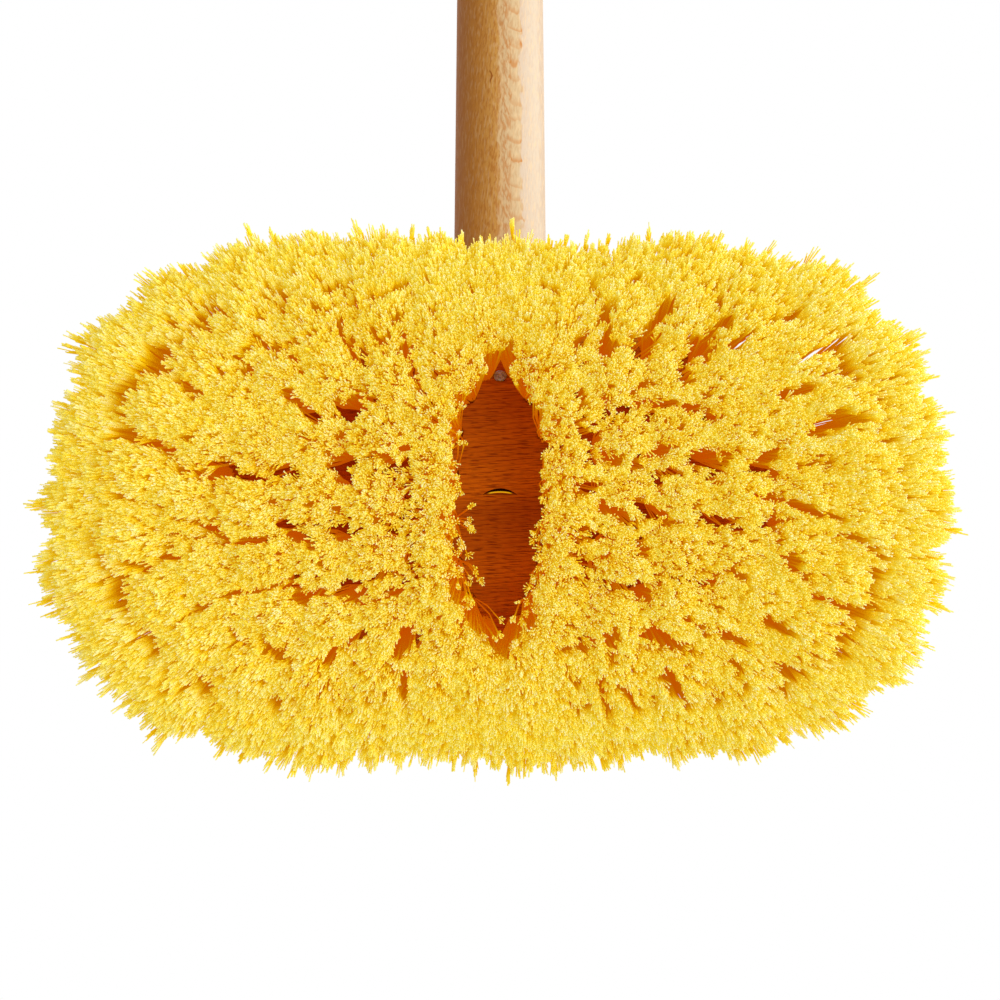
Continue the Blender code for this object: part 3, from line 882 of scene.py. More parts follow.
@dataclass(frozen=True)
class HandleBeech:
    """The handle's beech: dark on one flank and cream on the other, with a band of short arcs between. The
    dark flank is partly painted shade and the cream flank partly a painted highlight, over the wood's own
    tones.

    Places across the handle count from 0 on the cream flank to 1 on the dark one.
    """

    name: str
    form: HandleForm
    foot: Vector
    # Across the handle: the wood's own tones, with a painted highlight towards the cream flank and painted
    # warm shade towards the dark one.
    shades: tuple = (
        (0.02, (0.58, 0.44, 0.31)),
        (0.08, (0.65, 0.53, 0.39)),
        (0.25, (0.66, 0.52, 0.38)),
        (0.28, (0.65, 0.475, 0.265)),
        (0.46, (0.67, 0.455, 0.23)),
        (0.54, (0.67, 0.335, 0.078)),
        (0.75, (0.60, 0.24, 0.036)),
        (0.98, (0.43, 0.128, 0.008)),
    )
    waver: Figure = Figure((30.0, 30.0, 55.0), strength=0.05)
    shake: Figure = Figure((500.0, 500.0, 160.0), strength=0.13)
    streak: Colour = (0.48, 0.16, 0.02)
    fine: Figure = Figure((2200.0, 2200.0, 330.0), (0.47, 0.64), 0.66)
    broad: Figure = Figure((420.0, 420.0, 26.0), (0.48, 0.80), 0.22)
    fine_slant: float = 0.06
    cream_streaks: float = 0.16
    streak_band: Band = (0.2, 0.6)
    pale_streak: Colour = (0.82, 0.58, 0.31)
    pale: Figure = Figure((1900.0, 1900.0, 260.0), (0.50, 0.66), 0.46)
    pale_loss: float = 0.34
    hatch: Figure = Figure((1300.0, 1300.0, 260.0), (0.48, 0.60), 0.60)
    hatch_slant: float = 0.22
    hatch_rise: Band = (0.38, 0.42)
    hatch_fall: Band = (0.50, 0.60)
    ridge_rise: Band = (0.475, 0.495)
    ridge_fall: Band = (0.495, 0.520)
    ridge_strength: float = 0.5
    arc: Colour = (0.56, 0.22, 0.05)
    arc_middle: float = 0.335
    arc_half: float = 0.075
    arc_spacing: float = 0.0085
    arc_depth: float = 0.20
    arc_rise: Band = (0.0, 0.08)
    arc_fall: Band = (0.12, 0.40)
    arc_drift: Figure = Figure((0.0, 0.0, 70.0), strength=2.4)
    arc_shake: float = 0.35
    arc_edge_rise: Band = (0.62, 0.92)
    arc_edge_fall: Band = (0.85, 1.05)
    arc_edge_gaps: Band = (0.45, 0.6)
    arc_edge_strength: float = 0.7
    arc_least: float = 0.30
    arc_patches: Figure = Figure((60.0, 60.0, 120.0), (0.40, 0.62), 0.45)
    dash: Colour = (0.36, 0.10, 0.01)
    dash_place: tuple[float, float] = (0.61, 0.165)
    dash_half: tuple[float, float] = (0.012, 0.0035)
    dash_edge: Band = (0.4, 1.2)
    # Painted light at the handle's foot where it shows through the block: a bright yellow band of painted
    # light that also emits, painted shade on the rest of the end, and a painted black shadow up the side
    # where the gap round the handle lies.
    lip: Colour = (0.92, 0.76, 0.07)
    lip_glow: Colour = (0.38, 0.24, 0.0)
    lip_corner: Colour = (0.50, 0.13, 0.004)
    lip_fade: Band = (0.0022, 0.0034)
    lip_band: Band = (0.00025, 0.00045)
    lip_edge: Band = (0.00035, 0.0005)
    slit: Colour = (0.02, 0.004, 0.0)
    slit_edge: Band = (0.0048, 0.006)
    bump_strength: float = 0.3
    bump_distance: float = 0.0002
    roughness: float = 0.44
    broad_roughness: float = 0.12
    specular: float = 0.05

    def material(self) -> bpy.types.Material:
        """The handle's material, on coordinates from its foot with Z along it."""
        graph = ShaderGraph.material(self.name)
        local = graph.turned(graph.object_place() - self.foot, (self.form.angle, 0.0, 0.0))
        x, y, z = local.split()
        slanted = graph.vector(x + z * self.fine_slant, y, z)
        fine, broad = graph.noise(slanted, self.fine), graph.noise(local, self.broad)
        waver, shake = graph.noise(local, self.waver), graph.noise(local, self.shake)
        across = x / self.form.diameter + 0.5
        across = across + (waver - 0.5) * self.waver.strength + (shake - 0.5) * self.shake.strength

        # Painted highlight on the cream flank and painted shade on the dark one, over the wood's own tones.
        colour = graph.ramp(across, *self.shades)
        dark = graph.shown(fine, self.fine) + graph.shown(broad, self.broad)
        dark_flank = self.cream_streaks + graph.fade(across, *self.streak_band) * (1.0 - self.cream_streaks)
        colour = graph.mix(dark * dark_flank, colour, self.streak)
        pale = graph.fade(graph.noise(slanted, self.pale), *self.pale.band)
        colour = graph.mix(pale * (self.pale.strength - across * self.pale_loss), colour, self.pale_streak)
        hatched = graph.noise(graph.vector(x - z * self.hatch_slant, y, z), self.hatch)
        beside = graph.hump(across, self.hatch_rise, self.hatch_fall)
        colour = graph.mix(graph.shown(hatched, self.hatch) * beside, colour, self.arc)
        ridge = graph.hump(across, self.ridge_rise, self.ridge_fall)
        colour = graph.mix(ridge * self.ridge_strength, colour, self.pale_streak)
        colour = graph.mix(self._arcs(graph, across, local, shake), colour, self.arc)
        colour = graph.mix(self._dash(graph, across, z), colour, self.dash)
        colour, glow = self._foot(graph, local, colour)
        return graph.principled(
            {
                "Base Color": colour,
                "Roughness": self.roughness + broad * self.broad_roughness,
                "Normal": graph.bump(fine, self.bump_strength, self.bump_distance),
                "Specular IOR Level": self.specular,
                "Emission Color": glow,
                "Emission Strength": 1.0,
            }
        )

    def _arcs(self, graph: ShaderGraph, across: Signal, local: Signal, shake: Signal) -> Signal:
        """Short uneven arcs that open upwards, one above another, within their band."""
        drift = graph.noise(local, self.arc_drift)
        aside = (across - self.arc_middle) / self.arc_half
        step = local.split()[2] / self.arc_spacing + (drift - 0.5) * self.arc_drift.strength
        step = step - aside * aside * self.arc_depth + (shake - 0.5) * self.arc_shake
        line = graph.hump(step.call("FRACT"), self.arc_rise, self.arc_fall)
        off_middle = aside.call("ABSOLUTE")
        inside = 1.0 - graph.fade(off_middle, *self.arc_edge_fall)
        edge = graph.fade(off_middle, *self.arc_edge_rise) * inside
        edge = edge * graph.fade(shake, *self.arc_edge_gaps) * self.arc_edge_strength
        strong = self.arc_least + graph.shown(graph.noise(local, self.arc_patches), self.arc_patches)
        return (line * inside + edge) * strong

    def _dash(self, graph: ShaderGraph, across: Signal, z: Signal) -> Signal:
        """One short dark dash on the handle."""
        middle, height = self.dash_place
        aside = ((across - middle) / self.dash_half[0]).call("POWER", 2.0)
        along = ((z - height) / self.dash_half[1]).call("POWER", 2.0)
        return 1.0 - graph.fade(aside + along, *self.dash_edge)

    def _foot(self, graph: ShaderGraph, local: Signal, colour: Signal) -> tuple[Signal, Signal]:
        """The colour and the emission at the foot: a painted black shadow up the side where the gap round
        the handle lies, and on the end a painted bright band that also emits, with painted shade beside it.
        """
        x, y, z = local.split()
        # Painted shadow: black on the lowest part of the side, where the gap round the handle lies.
        colour = graph.mix(1.0 - graph.fade(z, *self.slit_edge), colour, self.slit)
        # Painted light: a bright band on the end near its rim, with painted shade beside it.
        off_middle = graph.fade(x.call("ABSOLUTE"), *self.lip_fade)
        within = self.form.tip_diameter / 2 - graph.vector(x, y, 0.0).length()
        bright = (1.0 - off_middle) * (1.0 - graph.fade(within, *self.lip_band))
        end_share = 1.0 - graph.fade(z, *self.lip_edge)
        colour = graph.mix(end_share, colour, graph.mix(bright, self.lip_corner, self.lip))
        return colour, graph.mix(end_share * bright, (0.0, 0.0, 0.0), self.lip_glow)


@dataclass(frozen=True)
class BristleFinish:
    """Dyed filaments: amber at the root, lemon towards the split end, and a little different each. The lemon
    end is the fibres' own colour; the deeper amber towards the root is partly painted shade of the pile's
    depths, and the filaments emit a painted light that stands in for light passing through the plastic.

    Reach counts from 0 at the root to 1 at the end, and tone is a filament's own number from 0 to 1.
    """

    name: str = "bristle_yellow"
    # Along the filament: the pale split end is the fibres' own colour, and the deepening to amber towards
    # the root is partly painted shade of the pile's depths.
    colours: tuple = (
        (0.0, (0.88, 0.39, 0.001)),
        (0.60, (0.86, 0.47, 0.002)),
        (0.80, (0.86, 0.60, 0.003)),
        (0.93, (0.94, 0.765, 0.004)),
        (1.0, (0.945, 0.89, 0.32)),
    )
    # Painted light: the filaments emit orange towards the root and yellow at the end, standing in for light
    # passing through the plastic; they are no lamp.
    glows: tuple = ((0.35, (0.54, 0.185, 0.0)), (0.86, (0.50, 0.245, 0.0)), (0.96, (0.60, 0.48, 0.010)))
    glow: float = 0.24
    deep_tone: Colour = (1.0, 0.92, 0.40)
    deep_tones: Band = (0.0, 0.45)
    pale_tone: Colour = (0.97, 0.95, 0.78)
    pale_tones: Band = (0.50, 1.0)
    pale_reach: Band = (0.90, 1.0)
    pale_strength: float = 0.55
    white_tone: Colour = (0.92, 0.90, 0.78)
    white_from: float = 0.9993
    white_reach: Band = (0.90, 0.96)
    roughness: float = 0.65
    tone_gloss: float = 0.12
    specular: float = 0.02

    def material(self) -> bpy.types.Material:
        """The filaments' material, on their own attributes."""
        graph = ShaderGraph.material(self.name)
        reach, tone = [
            graph.add("ShaderNodeAttribute", attribute_name=name)["Fac"] for name in ("reach", "tone")
        ]
        along = graph.ramp(reach, *self.colours)
        colour = graph.mix(1.0 - graph.fade(tone, *self.deep_tones), along, self.deep_tone, "MULTIPLY")
        pale = graph.fade(tone, *self.pale_tones) * self.pale_strength * graph.fade(reach, *self.pale_reach)
        colour = graph.mix(pale, colour, self.pale_tone)
        white = (tone > self.white_from) * graph.fade(reach, *self.white_reach)
        colour = graph.mix(white, colour, self.white_tone)
        return graph.principled(
            {
                "Base Color": colour,
                "Roughness": self.roughness - tone * self.tone_gloss,
                "Specular IOR Level": self.specular,
                # The painted light that stands in for light passing through the plastic.
                "Emission Color": graph.ramp(reach, *self.glows),
                "Emission Strength": self.glow,
            }
        )


@dataclass(frozen=True)
class NailSteel:
    """Dull steel with a lilac cast and darker spots."""

    name: str = "nail_steel"
    bright: Colour = (0.50, 0.74, 1.0)
    dull: Colour = (0.27, 0.37, 0.52)
    spots: Figure = Figure((1.0, 1.0, 1.0), (0.45, 0.65), detail=3.0)
    spot_size: float = 0.0007
    bump_strength: float = 0.3
    bump_distance: float = 0.0001
    metallic: float = 0.3
    worn_metallic: float = 0.2
    roughness: float = 0.45
    worn_roughness: float = 0.3

    def material(self) -> bpy.types.Material:
        """The steel's material, on object coordinates."""
        graph = ShaderGraph.material(self.name)
        spots = graph.noise(graph.object_place(), self.spots, 1 / self.spot_size)
        worn = graph.fade(spots, *self.spots.band)
        return graph.principled(
            {
                "Base Color": graph.mix(worn, self.bright, self.dull),
                "Metallic": self.metallic - worn * self.worn_metallic,
                "Roughness": self.roughness + worn * self.worn_roughness,
                "Normal": graph.bump(spots, self.bump_strength, self.bump_distance),
            }
        )


@dataclass(frozen=True)
class Block:
    """The beech block, with a hole for each tuft, for the handle and for the nail."""

    form: BlockForm
    handle: HandleForm
    finish: Beech
    smooth_angle: float = math.radians(32)

    def build(self, tufts: Sequence[Tuft]) -> None:
        """Makes the block and puts it in place of its solid.

        Args:
            tufts: The tufts that it holds.
        """
        material = self.finish.material()
        builder = bmesh.new()
        skin_loops(builder, [self.form.outline(*point) for point in self.form.profile()])
        block = add_object("block_wood", builder, material)
        cut(block, self._tuft_holes(tufts, material))
        cut(block, self._handle_hole(material))
        cut(block, self.form.nail_hole(material))
        block.data.shade_smooth()
        block.data.set_sharp_from_angle(angle=self.smooth_angle)
        keep_piece(block, "block_beech", "block")

    def _tuft_holes(self, tufts: Sequence[Tuft], material: bpy.types.Material) -> bpy.types.Object:
        """The cutter for the tufts' holes."""
        builder = bmesh.new()
        form = self.form
        stations = [(form.hole_radius, -form.overrun), (form.hole_radius, form.hole_depth)]
        for tuft in tufts:
            turn = tuft.into_wood.to_track_quat("Z", "Y").to_matrix().to_4x4()
            add_rod(builder, Matrix.Translation(tuft.root) @ turn, stations, form.hole_sides)
        return add_object("tuft_holes", builder, material)

    def _handle_hole(self, material: bpy.types.Material) -> bpy.types.Object:
        """The cutter for the handle's hole."""
        builder = bmesh.new()
        clearance = self.form.clearance
        stations = self.handle.hole_stations(clearance)
        add_rod(builder, self.handle.hole_frame(clearance), stations, self.handle.sides)
        return add_object("handle_hole", builder, material)


@dataclass(frozen=True)
class Handle:
    """The turned handle: a tapered lower end, a plain shaft and a domed top, from one tree."""

    form: HandleForm
    block: BlockForm
    finish: HandleBeech
    weld_distance: float = 0.000001
    smooth_angle: float = math.radians(50)

    def build(self) -> None:
        """Makes the handle, with the nail's hole, and puts it in place of its solid."""
        material = self.finish.material()
        graph = self._tree(material)
        form = self.form
        sizes = {
            "Length": form.length,
            "Radius": form.diameter / 2,
            "Tip Radius": form.tip_diameter / 2,
            "Taper Length": form.taper_length,
            "Dome Height": form.dome_height,
            "Dome Share": form.end_share,
            "Rows": form.rows,
            "Sides": form.sides,
            "Weld Distance": self.weld_distance,
        }
        handle = graph.bake("handle_wood", bpy.data.meshes.new("handle_start"), sizes)
        clearance = self.block.clearance
        handle.data.transform(form.hole_frame(clearance) @ Matrix.Translation((0, 0, clearance)))
        cut(handle, self.block.nail_hole(material))
        handle.data.shade_smooth()
        handle.data.set_sharp_from_angle(angle=self.smooth_angle)
        keep_piece(handle, "handle_beech", "handle")

    @staticmethod
    def _tree(material: bpy.types.Material) -> GeometryGraph:
        """The tree that turns a grid into a closed solid of revolution along Z."""
        graph = GeometryGraph("turned_handle")
        length, radius, tip_radius = [graph.size(name) for name in ("Length", "Radius", "Tip Radius")]
        taper, weld = graph.size("Taper Length"), graph.size("Weld Distance")
        dome, dome_share = graph.size("Dome Height"), graph.size("Dome Share")
        rows, sides = [graph.size(name, whole=True) for name in ("Rows", "Sides")]
        grid = graph.add(
            "GeometryNodeMeshGrid",
            {"Size X": 1.0, "Size Y": 1.0, "Vertices X": rows + 1.0, "Vertices Y": sides + 1.0},
        )
        across, around, _ = graph.add("GeometryNodeInputPosition").split()
        step, turn = across + 0.5, (around + 0.5) * (2 * math.pi)
        first_row, dome_start = 1.0 / rows, 1.0 - dome_share
        run = ((step - first_row) / (dome_start - first_row)).clamped()
        rise = ((step - dome_start) / dome_share).clamped() * (math.pi / 2)
        height = run * (length - dome) + rise.call("SINE") * dome
        share = (height / taper).call("MINIMUM", 1.0)
        wide = tip_radius + (radius - tip_radius) * share
        turned = wide * rise.call("COSINE") * (step * rows).call("MINIMUM", 1.0)
        point = graph.vector(turned * turn.call("COSINE"), turned * turn.call("SINE"), height)
        moved = graph.add("GeometryNodeSetPosition", {"Geometry": grid, "Position": point})
        welded = graph.add("GeometryNodeMergeByDistance", {"Geometry": moved, "Distance": weld})
        graph.finish(welded, material)
        return graph


@dataclass(frozen=True)
class FilamentForm:
    """One filament of unit length along Z, with its end split into a star of fine fibres."""

    variants: int = 16
    shaft_stations: tuple = ((0.0, 0.00020), (0.43, 0.00022), (0.86, 0.00024), (0.965, 0.00012))
    bend: float = 0.0011
    bows: tuple[float, float] = (0.3, 1.0)
    second_bow: float = 0.5
    split_share: float = 0.80
    split_wander: float = 0.05
    fibre_counts: tuple[int, int] = (12, 14)
    fibre_radii: tuple[float, float] = (0.00014, 0.00023)
    fibre_spread: float = 0.00155
    turn_wander: float = 0.4
    innermost: float = 0.01
    squashes: tuple[float, float] = (0.38, 0.95)
    fan_lean: float = 0.55
    fans: tuple[float, float] = (0.50, 1.15)
    fibre_reaches: tuple[float, float] = (0.935, 1.012)
    fibre_droop: float = 0.008
    # On the rim's filaments this shifts the colour ramp towards its pale end, which takes off some of the
    # ramp's painted shade.
    paleness: float = 0.0

    def collection(self) -> bpy.types.Collection:
        """A collection with one object for each variant."""
        held = bpy.data.collections.new("filament_variants")
        bpy.context.scene.collection.children.link(held)
        for number in range(self.variants):
            held.objects.link(bpy.data.objects.new(f"filament_{number:02d}", self._mesh(number)))
        return held

    def _mesh(self, number: int) -> bpy.types.Mesh:
        """One variant's mesh, with each point's share of the length in the attribute reach."""
        draw = random.Random(number)
        heading, second = draw.uniform(0, 2 * math.pi), draw.uniform(-1, 1)
        bow = draw.uniform(*self.bows) * self.bend

        def centre(share: float) -> Vector:
            """The bent centre line at a share of the length."""
            wave = math.pi * share
            side = bow * (math.sin(wave) + self.second_bow * second * math.sin(2 * wave))
            return Vector((side * math.cos(heading), side * math.sin(heading), share))

        builder = bmesh.new()
        stations = [self._triangle(centre(share), radius, 0.0) for share, radius in self.shaft_stations]
        skin_loops(builder, stations)
        count = draw.randint(*self.fibre_counts)
        fan = self.fibre_spread * draw.uniform(*self.fans)
        squash, lean = draw.uniform(*self.squashes), draw.uniform(0.0, self.fan_lean)
        facing = Matrix.Rotation(draw.uniform(0, math.pi), 3, "Z")
        for i in range(count):
            turn = 2 * math.pi * (i + draw.uniform(-self.turn_wander, self.turn_wander)) / count
            away = math.sqrt(draw.uniform(self.innermost, 1.0))
            spread = Vector((math.cos(turn) * away + lean, math.sin(turn) * away * squash, 0)) * fan
            end = centre(1.0) + facing @ spread
            end.z = draw.uniform(*self.fibre_reaches) - self.fibre_droop * away**2
            rim = self._triangle(end, draw.uniform(*self.fibre_radii), draw.uniform(0, math.pi))
            self._spike(builder, centre(self.split_share + draw.uniform(0.0, self.split_wander)), rim)
        mesh = bpy.data.meshes.new(f"filament_{number:02d}")
        builder.to_mesh(mesh)
        builder.free()
        reach = mesh.attributes.new("reach", "FLOAT", "POINT")
        shares = [max(0.0, min(1.0, vertex.co.z * (1 + self.paleness))) for vertex in mesh.vertices]
        reach.data.foreach_set("value", shares)
        return mesh

    @staticmethod
    def _triangle(centre: Vector, radius: float, turn: float) -> list[Vector]:
        """A level triangle about a centre."""
        turns = [turn + 2 * math.pi * i / 3 for i in range(3)]
        return [centre + Vector((math.cos(a), math.sin(a), 0)) * radius for a in turns]

    @staticmethod
    def _spike(builder: bmesh.types.BMesh, root: Vector, rim: Sequence[Vector]) -> None:
        """A split fibre: a thin start that widens to a blunt end."""
        base = builder.verts.new(root)
        ends = [builder.verts.new(point) for point in rim]
        for i in range(3):
            builder.faces.new((base, ends[i], ends[(i + 1) % 3])[::-1])
        builder.faces.new(ends)


class Draw(IntEnum):
    """What is drawn at random for each filament. Each adds its own number to the piece's seed."""

    TURN = 0
    SHAKE = 1
    STRAY = 2
    STRAY_REACH = 3
    SPIN = 4
    THICKNESS = 5
    VARIANT = 6
    TONE = 7
    LAG = 8


@dataclass(frozen=True)
class Pile:
    """The whole pile: a tree that fills each tuft with filaments, and the partings that open it."""

    filament: FilamentForm
    edge_filament: FilamentForm
    finish: BristleFinish
    partings: tuple
    per_tuft: int = 180
    per_edge_tuft: int = 225
    seed_step: int = 20
    turn_jitter: float = 0.2
    dome: float = 0.0056
    clump: float = 0.0030
    clump_size: float = 0.0042
    jitter: float = 0.0007
    height_jitter: float = 0.0010
    stray_share: float = 0.03
    loose_stray_share: float = 0.11
    stray_reach: float = 0.0045
    shortest_stray: float = 0.3
    root_sink: float = 0.0024
    thickness: tuple[float, float] = (0.85, 1.2)
    ease: float = 1.14
    ragged_size: float = 0.0070
    ragged_ease: float = 1.6
    stray_ease: float = 0.55
    parting_lag: float = 0.80
    finger_size: float = 0.0026
    finger_band: Band = (0.50, 0.66)
    near_side_lag: float = 0.15
    far_side_band: Band = (-0.3, 0.5)
    wide_parting: Band = (0.0042, 0.0050)
    start_vectors: tuple[str, ...] = ("tip", "root_u", "root_v", "tip_u", "tip_v", "into_wood")

    def build(self, tufts: Sequence[Tuft]) -> None:
        """Makes one piece of filaments for each of the model's bristle pieces."""
        partings = self._parting_lines()
        collections = [form.collection() for form in (self.filament, self.edge_filament)]
        inner_tree, edge_tree = [self._tree(variants, partings) for variants in collections]
        for number, node in enumerate(sorted({tuft.node for tuft in tufts})):
            start = self._start_points(node, [tuft for tuft in tufts if tuft.node == node])
            own = {"Filaments": self.per_tuft, "Seed": number * self.seed_step}
            at_edge = "outer" in node
            if at_edge:
                own["Filaments"] = self.per_edge_tuft
            if at_edge or "centre" in node:
                own["Stray Share"] = self.loose_stray_share
            graph = edge_tree if at_edge else inner_tree
            piece = graph.bake("filaments_" + node.removeprefix("bristles_"), start, self._sizes() | own)
            for name in [*self.start_vectors, "line"]:
                piece.data.attributes.remove(piece.data.attributes[name])
            keep_piece(piece, "bristle", node)
        bpy.data.objects.remove(partings)
        for variants in collections:
            for filament in list(variants.objects):
                bpy.data.objects.remove(filament)
            bpy.data.collections.remove(variants)

    def _sizes(self) -> dict[str, float]:
        """The tree's inputs, with the values that most pieces share."""
        return {
            "Dome": self.dome,
            "Clump": self.clump,
            "Clump Size": self.clump_size,
            "Jitter": self.jitter,
            "Height Jitter": self.height_jitter,
            "Stray Share": self.stray_share,
            "Stray Reach": self.stray_reach,
            "Root Sink": self.root_sink,
            "Ragged Size": self.ragged_size,
        }

    def _parting_lines(self) -> bpy.types.Object:
        """The lines that the pile parts along, each with its half width."""
        points, edges = [], []
        for start_x, start_y, end_x, end_y, _ in self.partings:
            edges.append((len(points), len(points) + 1))
            points += [(start_x, start_y, 0), (end_x, end_y, 0)]
        mesh = bpy.data.meshes.new("partings")
        mesh.from_pydata(points, edges, [])
        widths = mesh.attributes.new("half_width", "FLOAT", "EDGE")
        widths.data.foreach_set("value", [row[-1] for row in self.partings])
        lines = bpy.data.objects.new("partings", mesh)
        bpy.context.collection.objects.link(lines)
        return lines

    def _start_points(self, node: str, tufts: Sequence[Tuft]) -> bpy.types.Mesh:
        """A point for each tuft of a piece, with how the tuft stands and spreads as attributes."""
        mesh = bpy.data.meshes.new(node + "_tufts")
        mesh.from_pydata([tuft.root for tuft in tufts], [], [])
        for name in self.start_vectors:
            values = np.array([getattr(tuft, name) for tuft in tufts], np.float32)
            mesh.attributes.new(name, "FLOAT_VECTOR", "POINT").data.foreach_set("vector", values.ravel())
        return mesh

    def _tree(self, variants: bpy.types.Collection, partings: bpy.types.Object) -> GeometryGraph:
        """The tree that grows filaments from each tuft's root to its end."""
        graph = GeometryGraph("filament_pile")
        size = {name: graph.size(name) for name in self._sizes()}
        count, seed = [graph.size(name, whole=True) for name in ("Filaments", "Seed")]
        inputs = {"Geometry": graph.geometry, "Amount": count}
        copies = graph.add("GeometryNodeDuplicateElements", inputs, domain="POINT")
        number = copies["Duplicate Index"]
        away = ((number + 0.5) / count).call("SQRT")
        turn = number * GOLDEN_ANGLE + graph.random(-self.turn_jitter, self.turn_jitter, seed + Draw.TURN)
        side_a, side_b = away * turn.call("COSINE"), away * turn.call("SINE")
        root = graph.add("GeometryNodeInputPosition") + graph.attribute("into_wood") * size["Root Sink"]
        root = root + graph.attribute("root_u") * side_a + graph.attribute("root_v") * side_b
        tip = graph.attribute("tip") + graph.attribute("tip_u") * side_a + graph.attribute("tip_v") * side_b
        stray = graph.random(0.0, 1.0, seed + Draw.STRAY) > (1.0 - size["Stray Share"])
        tip = self._strewn(graph, size, seed, root, tip, away, stray)
        tip = tip + self._parted(graph, size, seed, tip, stray, partings)

        held = graph.add(
            "GeometryNodeStoreNamedAttribute",
            {"Geometry": copies, "Name": "line", "Value": tip - root},
            data_type="FLOAT_VECTOR",
            domain="POINT",
        )
        planted = graph.add("GeometryNodeSetPosition", {"Geometry": held, "Position": root})
        toned = graph.add(
            "GeometryNodeStoreNamedAttribute",
            {
                "Geometry": self._grown(graph, planted, variants, seed),
                "Name": "tone",
                "Value": graph.random(0.0, 1.0, seed + Draw.TONE),
            },
            data_type="FLOAT",
            domain="INSTANCE",
        )
        graph.finish(toned, self.finish.material())
        return graph

    @staticmethod
    def _noise(graph: GeometryGraph, place_in: Signal, size: Any, detail: float = 1.0) -> Signal:
        """Noise that varies over a size."""
        inputs = {"Vector": place_in, "Scale": 1.0 / size, "Detail": detail}
        return graph.add("ShaderNodeTexNoise", inputs)

    def _strewn(
        self,
        graph: GeometryGraph,
        size: Mapping[str, Signal],
        seed: Signal,
        root: Signal,
        tip: Signal,
        away: Signal,
        stray: Signal,
    ) -> Signal:
        """An even end, moved with its clump, by its jitter, up the tuft's dome, and outwards if it strays.

        Args:
            graph: The tree.
            size: The tree's inputs.
            seed: The piece's seed.
            root: The filament's root.
            tip: The filament's even end.
            away: How far from its tuft's middle the filament is, from 0 to 1.
            stray: 1 for a filament that strays, else 0.

        Returns:
            The moved end.
        """
        level = (1.0, 1.0, 0.0)
        drift = self._noise(graph, tip, size["Clump Size"])["Color"]
        drift = graph.add("ShaderNodeVectorMath", {0: drift, 1: (0.5, 0.5, 0.5)}, operation="SUBTRACT")
        tip = tip + drift.times(level) * size["Clump"]
        shake = graph.random((-1, -1, -1), (1, 1, 1), seed + Draw.SHAKE, "FLOAT_VECTOR")
        tip = tip + shake.times(graph.vector(size["Jitter"], size["Jitter"], size["Height Jitter"]))
        tip = tip + graph.vector(0.0, 0.0, size["Dome"] * away * away)
        share = graph.random(self.shortest_stray, 1.0, seed + Draw.STRAY_REACH)
        return tip + (tip - root).times(level).normalized() * (stray * size["Stray Reach"] * share)

    def _grown(
        self, graph: GeometryGraph, planted: Signal, variants: bpy.types.Collection, seed: Signal
    ) -> Signal:
        """A filament on each root, turned and stretched along its line."""
        line = graph.attribute("line")
        turn_about = graph.random(0.0, 2 * math.pi, seed + Draw.SPIN)
        spin = graph.add("FunctionNodeAxisAngleToRotation", {"Axis": (0, 0, 1), "Angle": turn_about})
        stand = graph.add("FunctionNodeAlignRotationToVector", {"Rotation": spin, "Vector": line}, axis="Z")
        stout = graph.random(*self.thickness, seed + Draw.THICKNESS)
        choice = graph.add(
            "GeometryNodeCollectionInfo",
            {"Collection": variants, "Separate Children": True, "Reset Children": True},
        )
        return graph.add(
            "GeometryNodeInstanceOnPoints",
            {
                "Points": planted,
                "Instance": choice,
                "Pick Instance": True,
                "Instance Index": graph.random(0, self.filament.variants - 1, seed + Draw.VARIANT, "INT"),
                "Rotation": stand,
                "Scale": graph.vector(stout, stout, line.length()),
            },
        )

    def _parted(
        self,
        graph: GeometryGraph,
        size: Mapping[str, Signal],
        seed: Signal,
        tip: Signal,
        stray: Signal,
        partings: bpy.types.Object,
    ) -> Signal:
        """How far an end is pushed from the nearest parting.

        Args:
            graph: The tree.
            size: The tree's inputs.
            seed: The piece's seed.
            tip: The filament's end.
            stray: 1 for a filament that strays, else 0.
            partings: The lines that the pile parts along.

        Returns:
            The push. An end lags behind the half width by a share of its own, in full on the far side of a
            narrow parting.
        """
        ragged = self._noise(graph, tip, size["Ragged Size"])
        finger = self._noise(graph, tip, self.finger_size, 0.0)
        own = graph.random(0.0, 1.0, seed + Draw.LAG).call("POWER", 2.0)
        lag = own + graph.fade(finger, *self.finger_band)
        ease = self.ease + (ragged - 0.5) * self.ragged_ease - stray * self.stray_ease

        lines = graph.add("GeometryNodeObjectInfo", {"Object": partings})["Geometry"]
        level = tip.times((1.0, 1.0, 0.0))
        place_in = {"Geometry": lines, "Sample Position": level}
        nearest = graph.add("GeometryNodeProximity", place_in, target_element="EDGES")
        index = graph.add("GeometryNodeSampleNearest", place_in, domain="EDGE")
        half = graph.add(
            "GeometryNodeSampleIndex",
            {"Geometry": lines, "Value": graph.attribute("half_width", "FLOAT"), "Index": index},
            data_type="FLOAT",
            domain="EDGE",
        )
        away = (level - nearest["Position"]).normalized()
        far_side = graph.fade(away.dot(level.normalized()), *self.far_side_band)
        far_side = far_side * (1.0 - graph.fade(half, *self.wide_parting))
        lagging = self.near_side_lag + far_side * (1.0 - self.near_side_lag)
        share = ease - lag * self.parting_lag * lagging
        return away * (half * share - nearest["Distance"] * 0.5).call("MAXIMUM", 0.0)


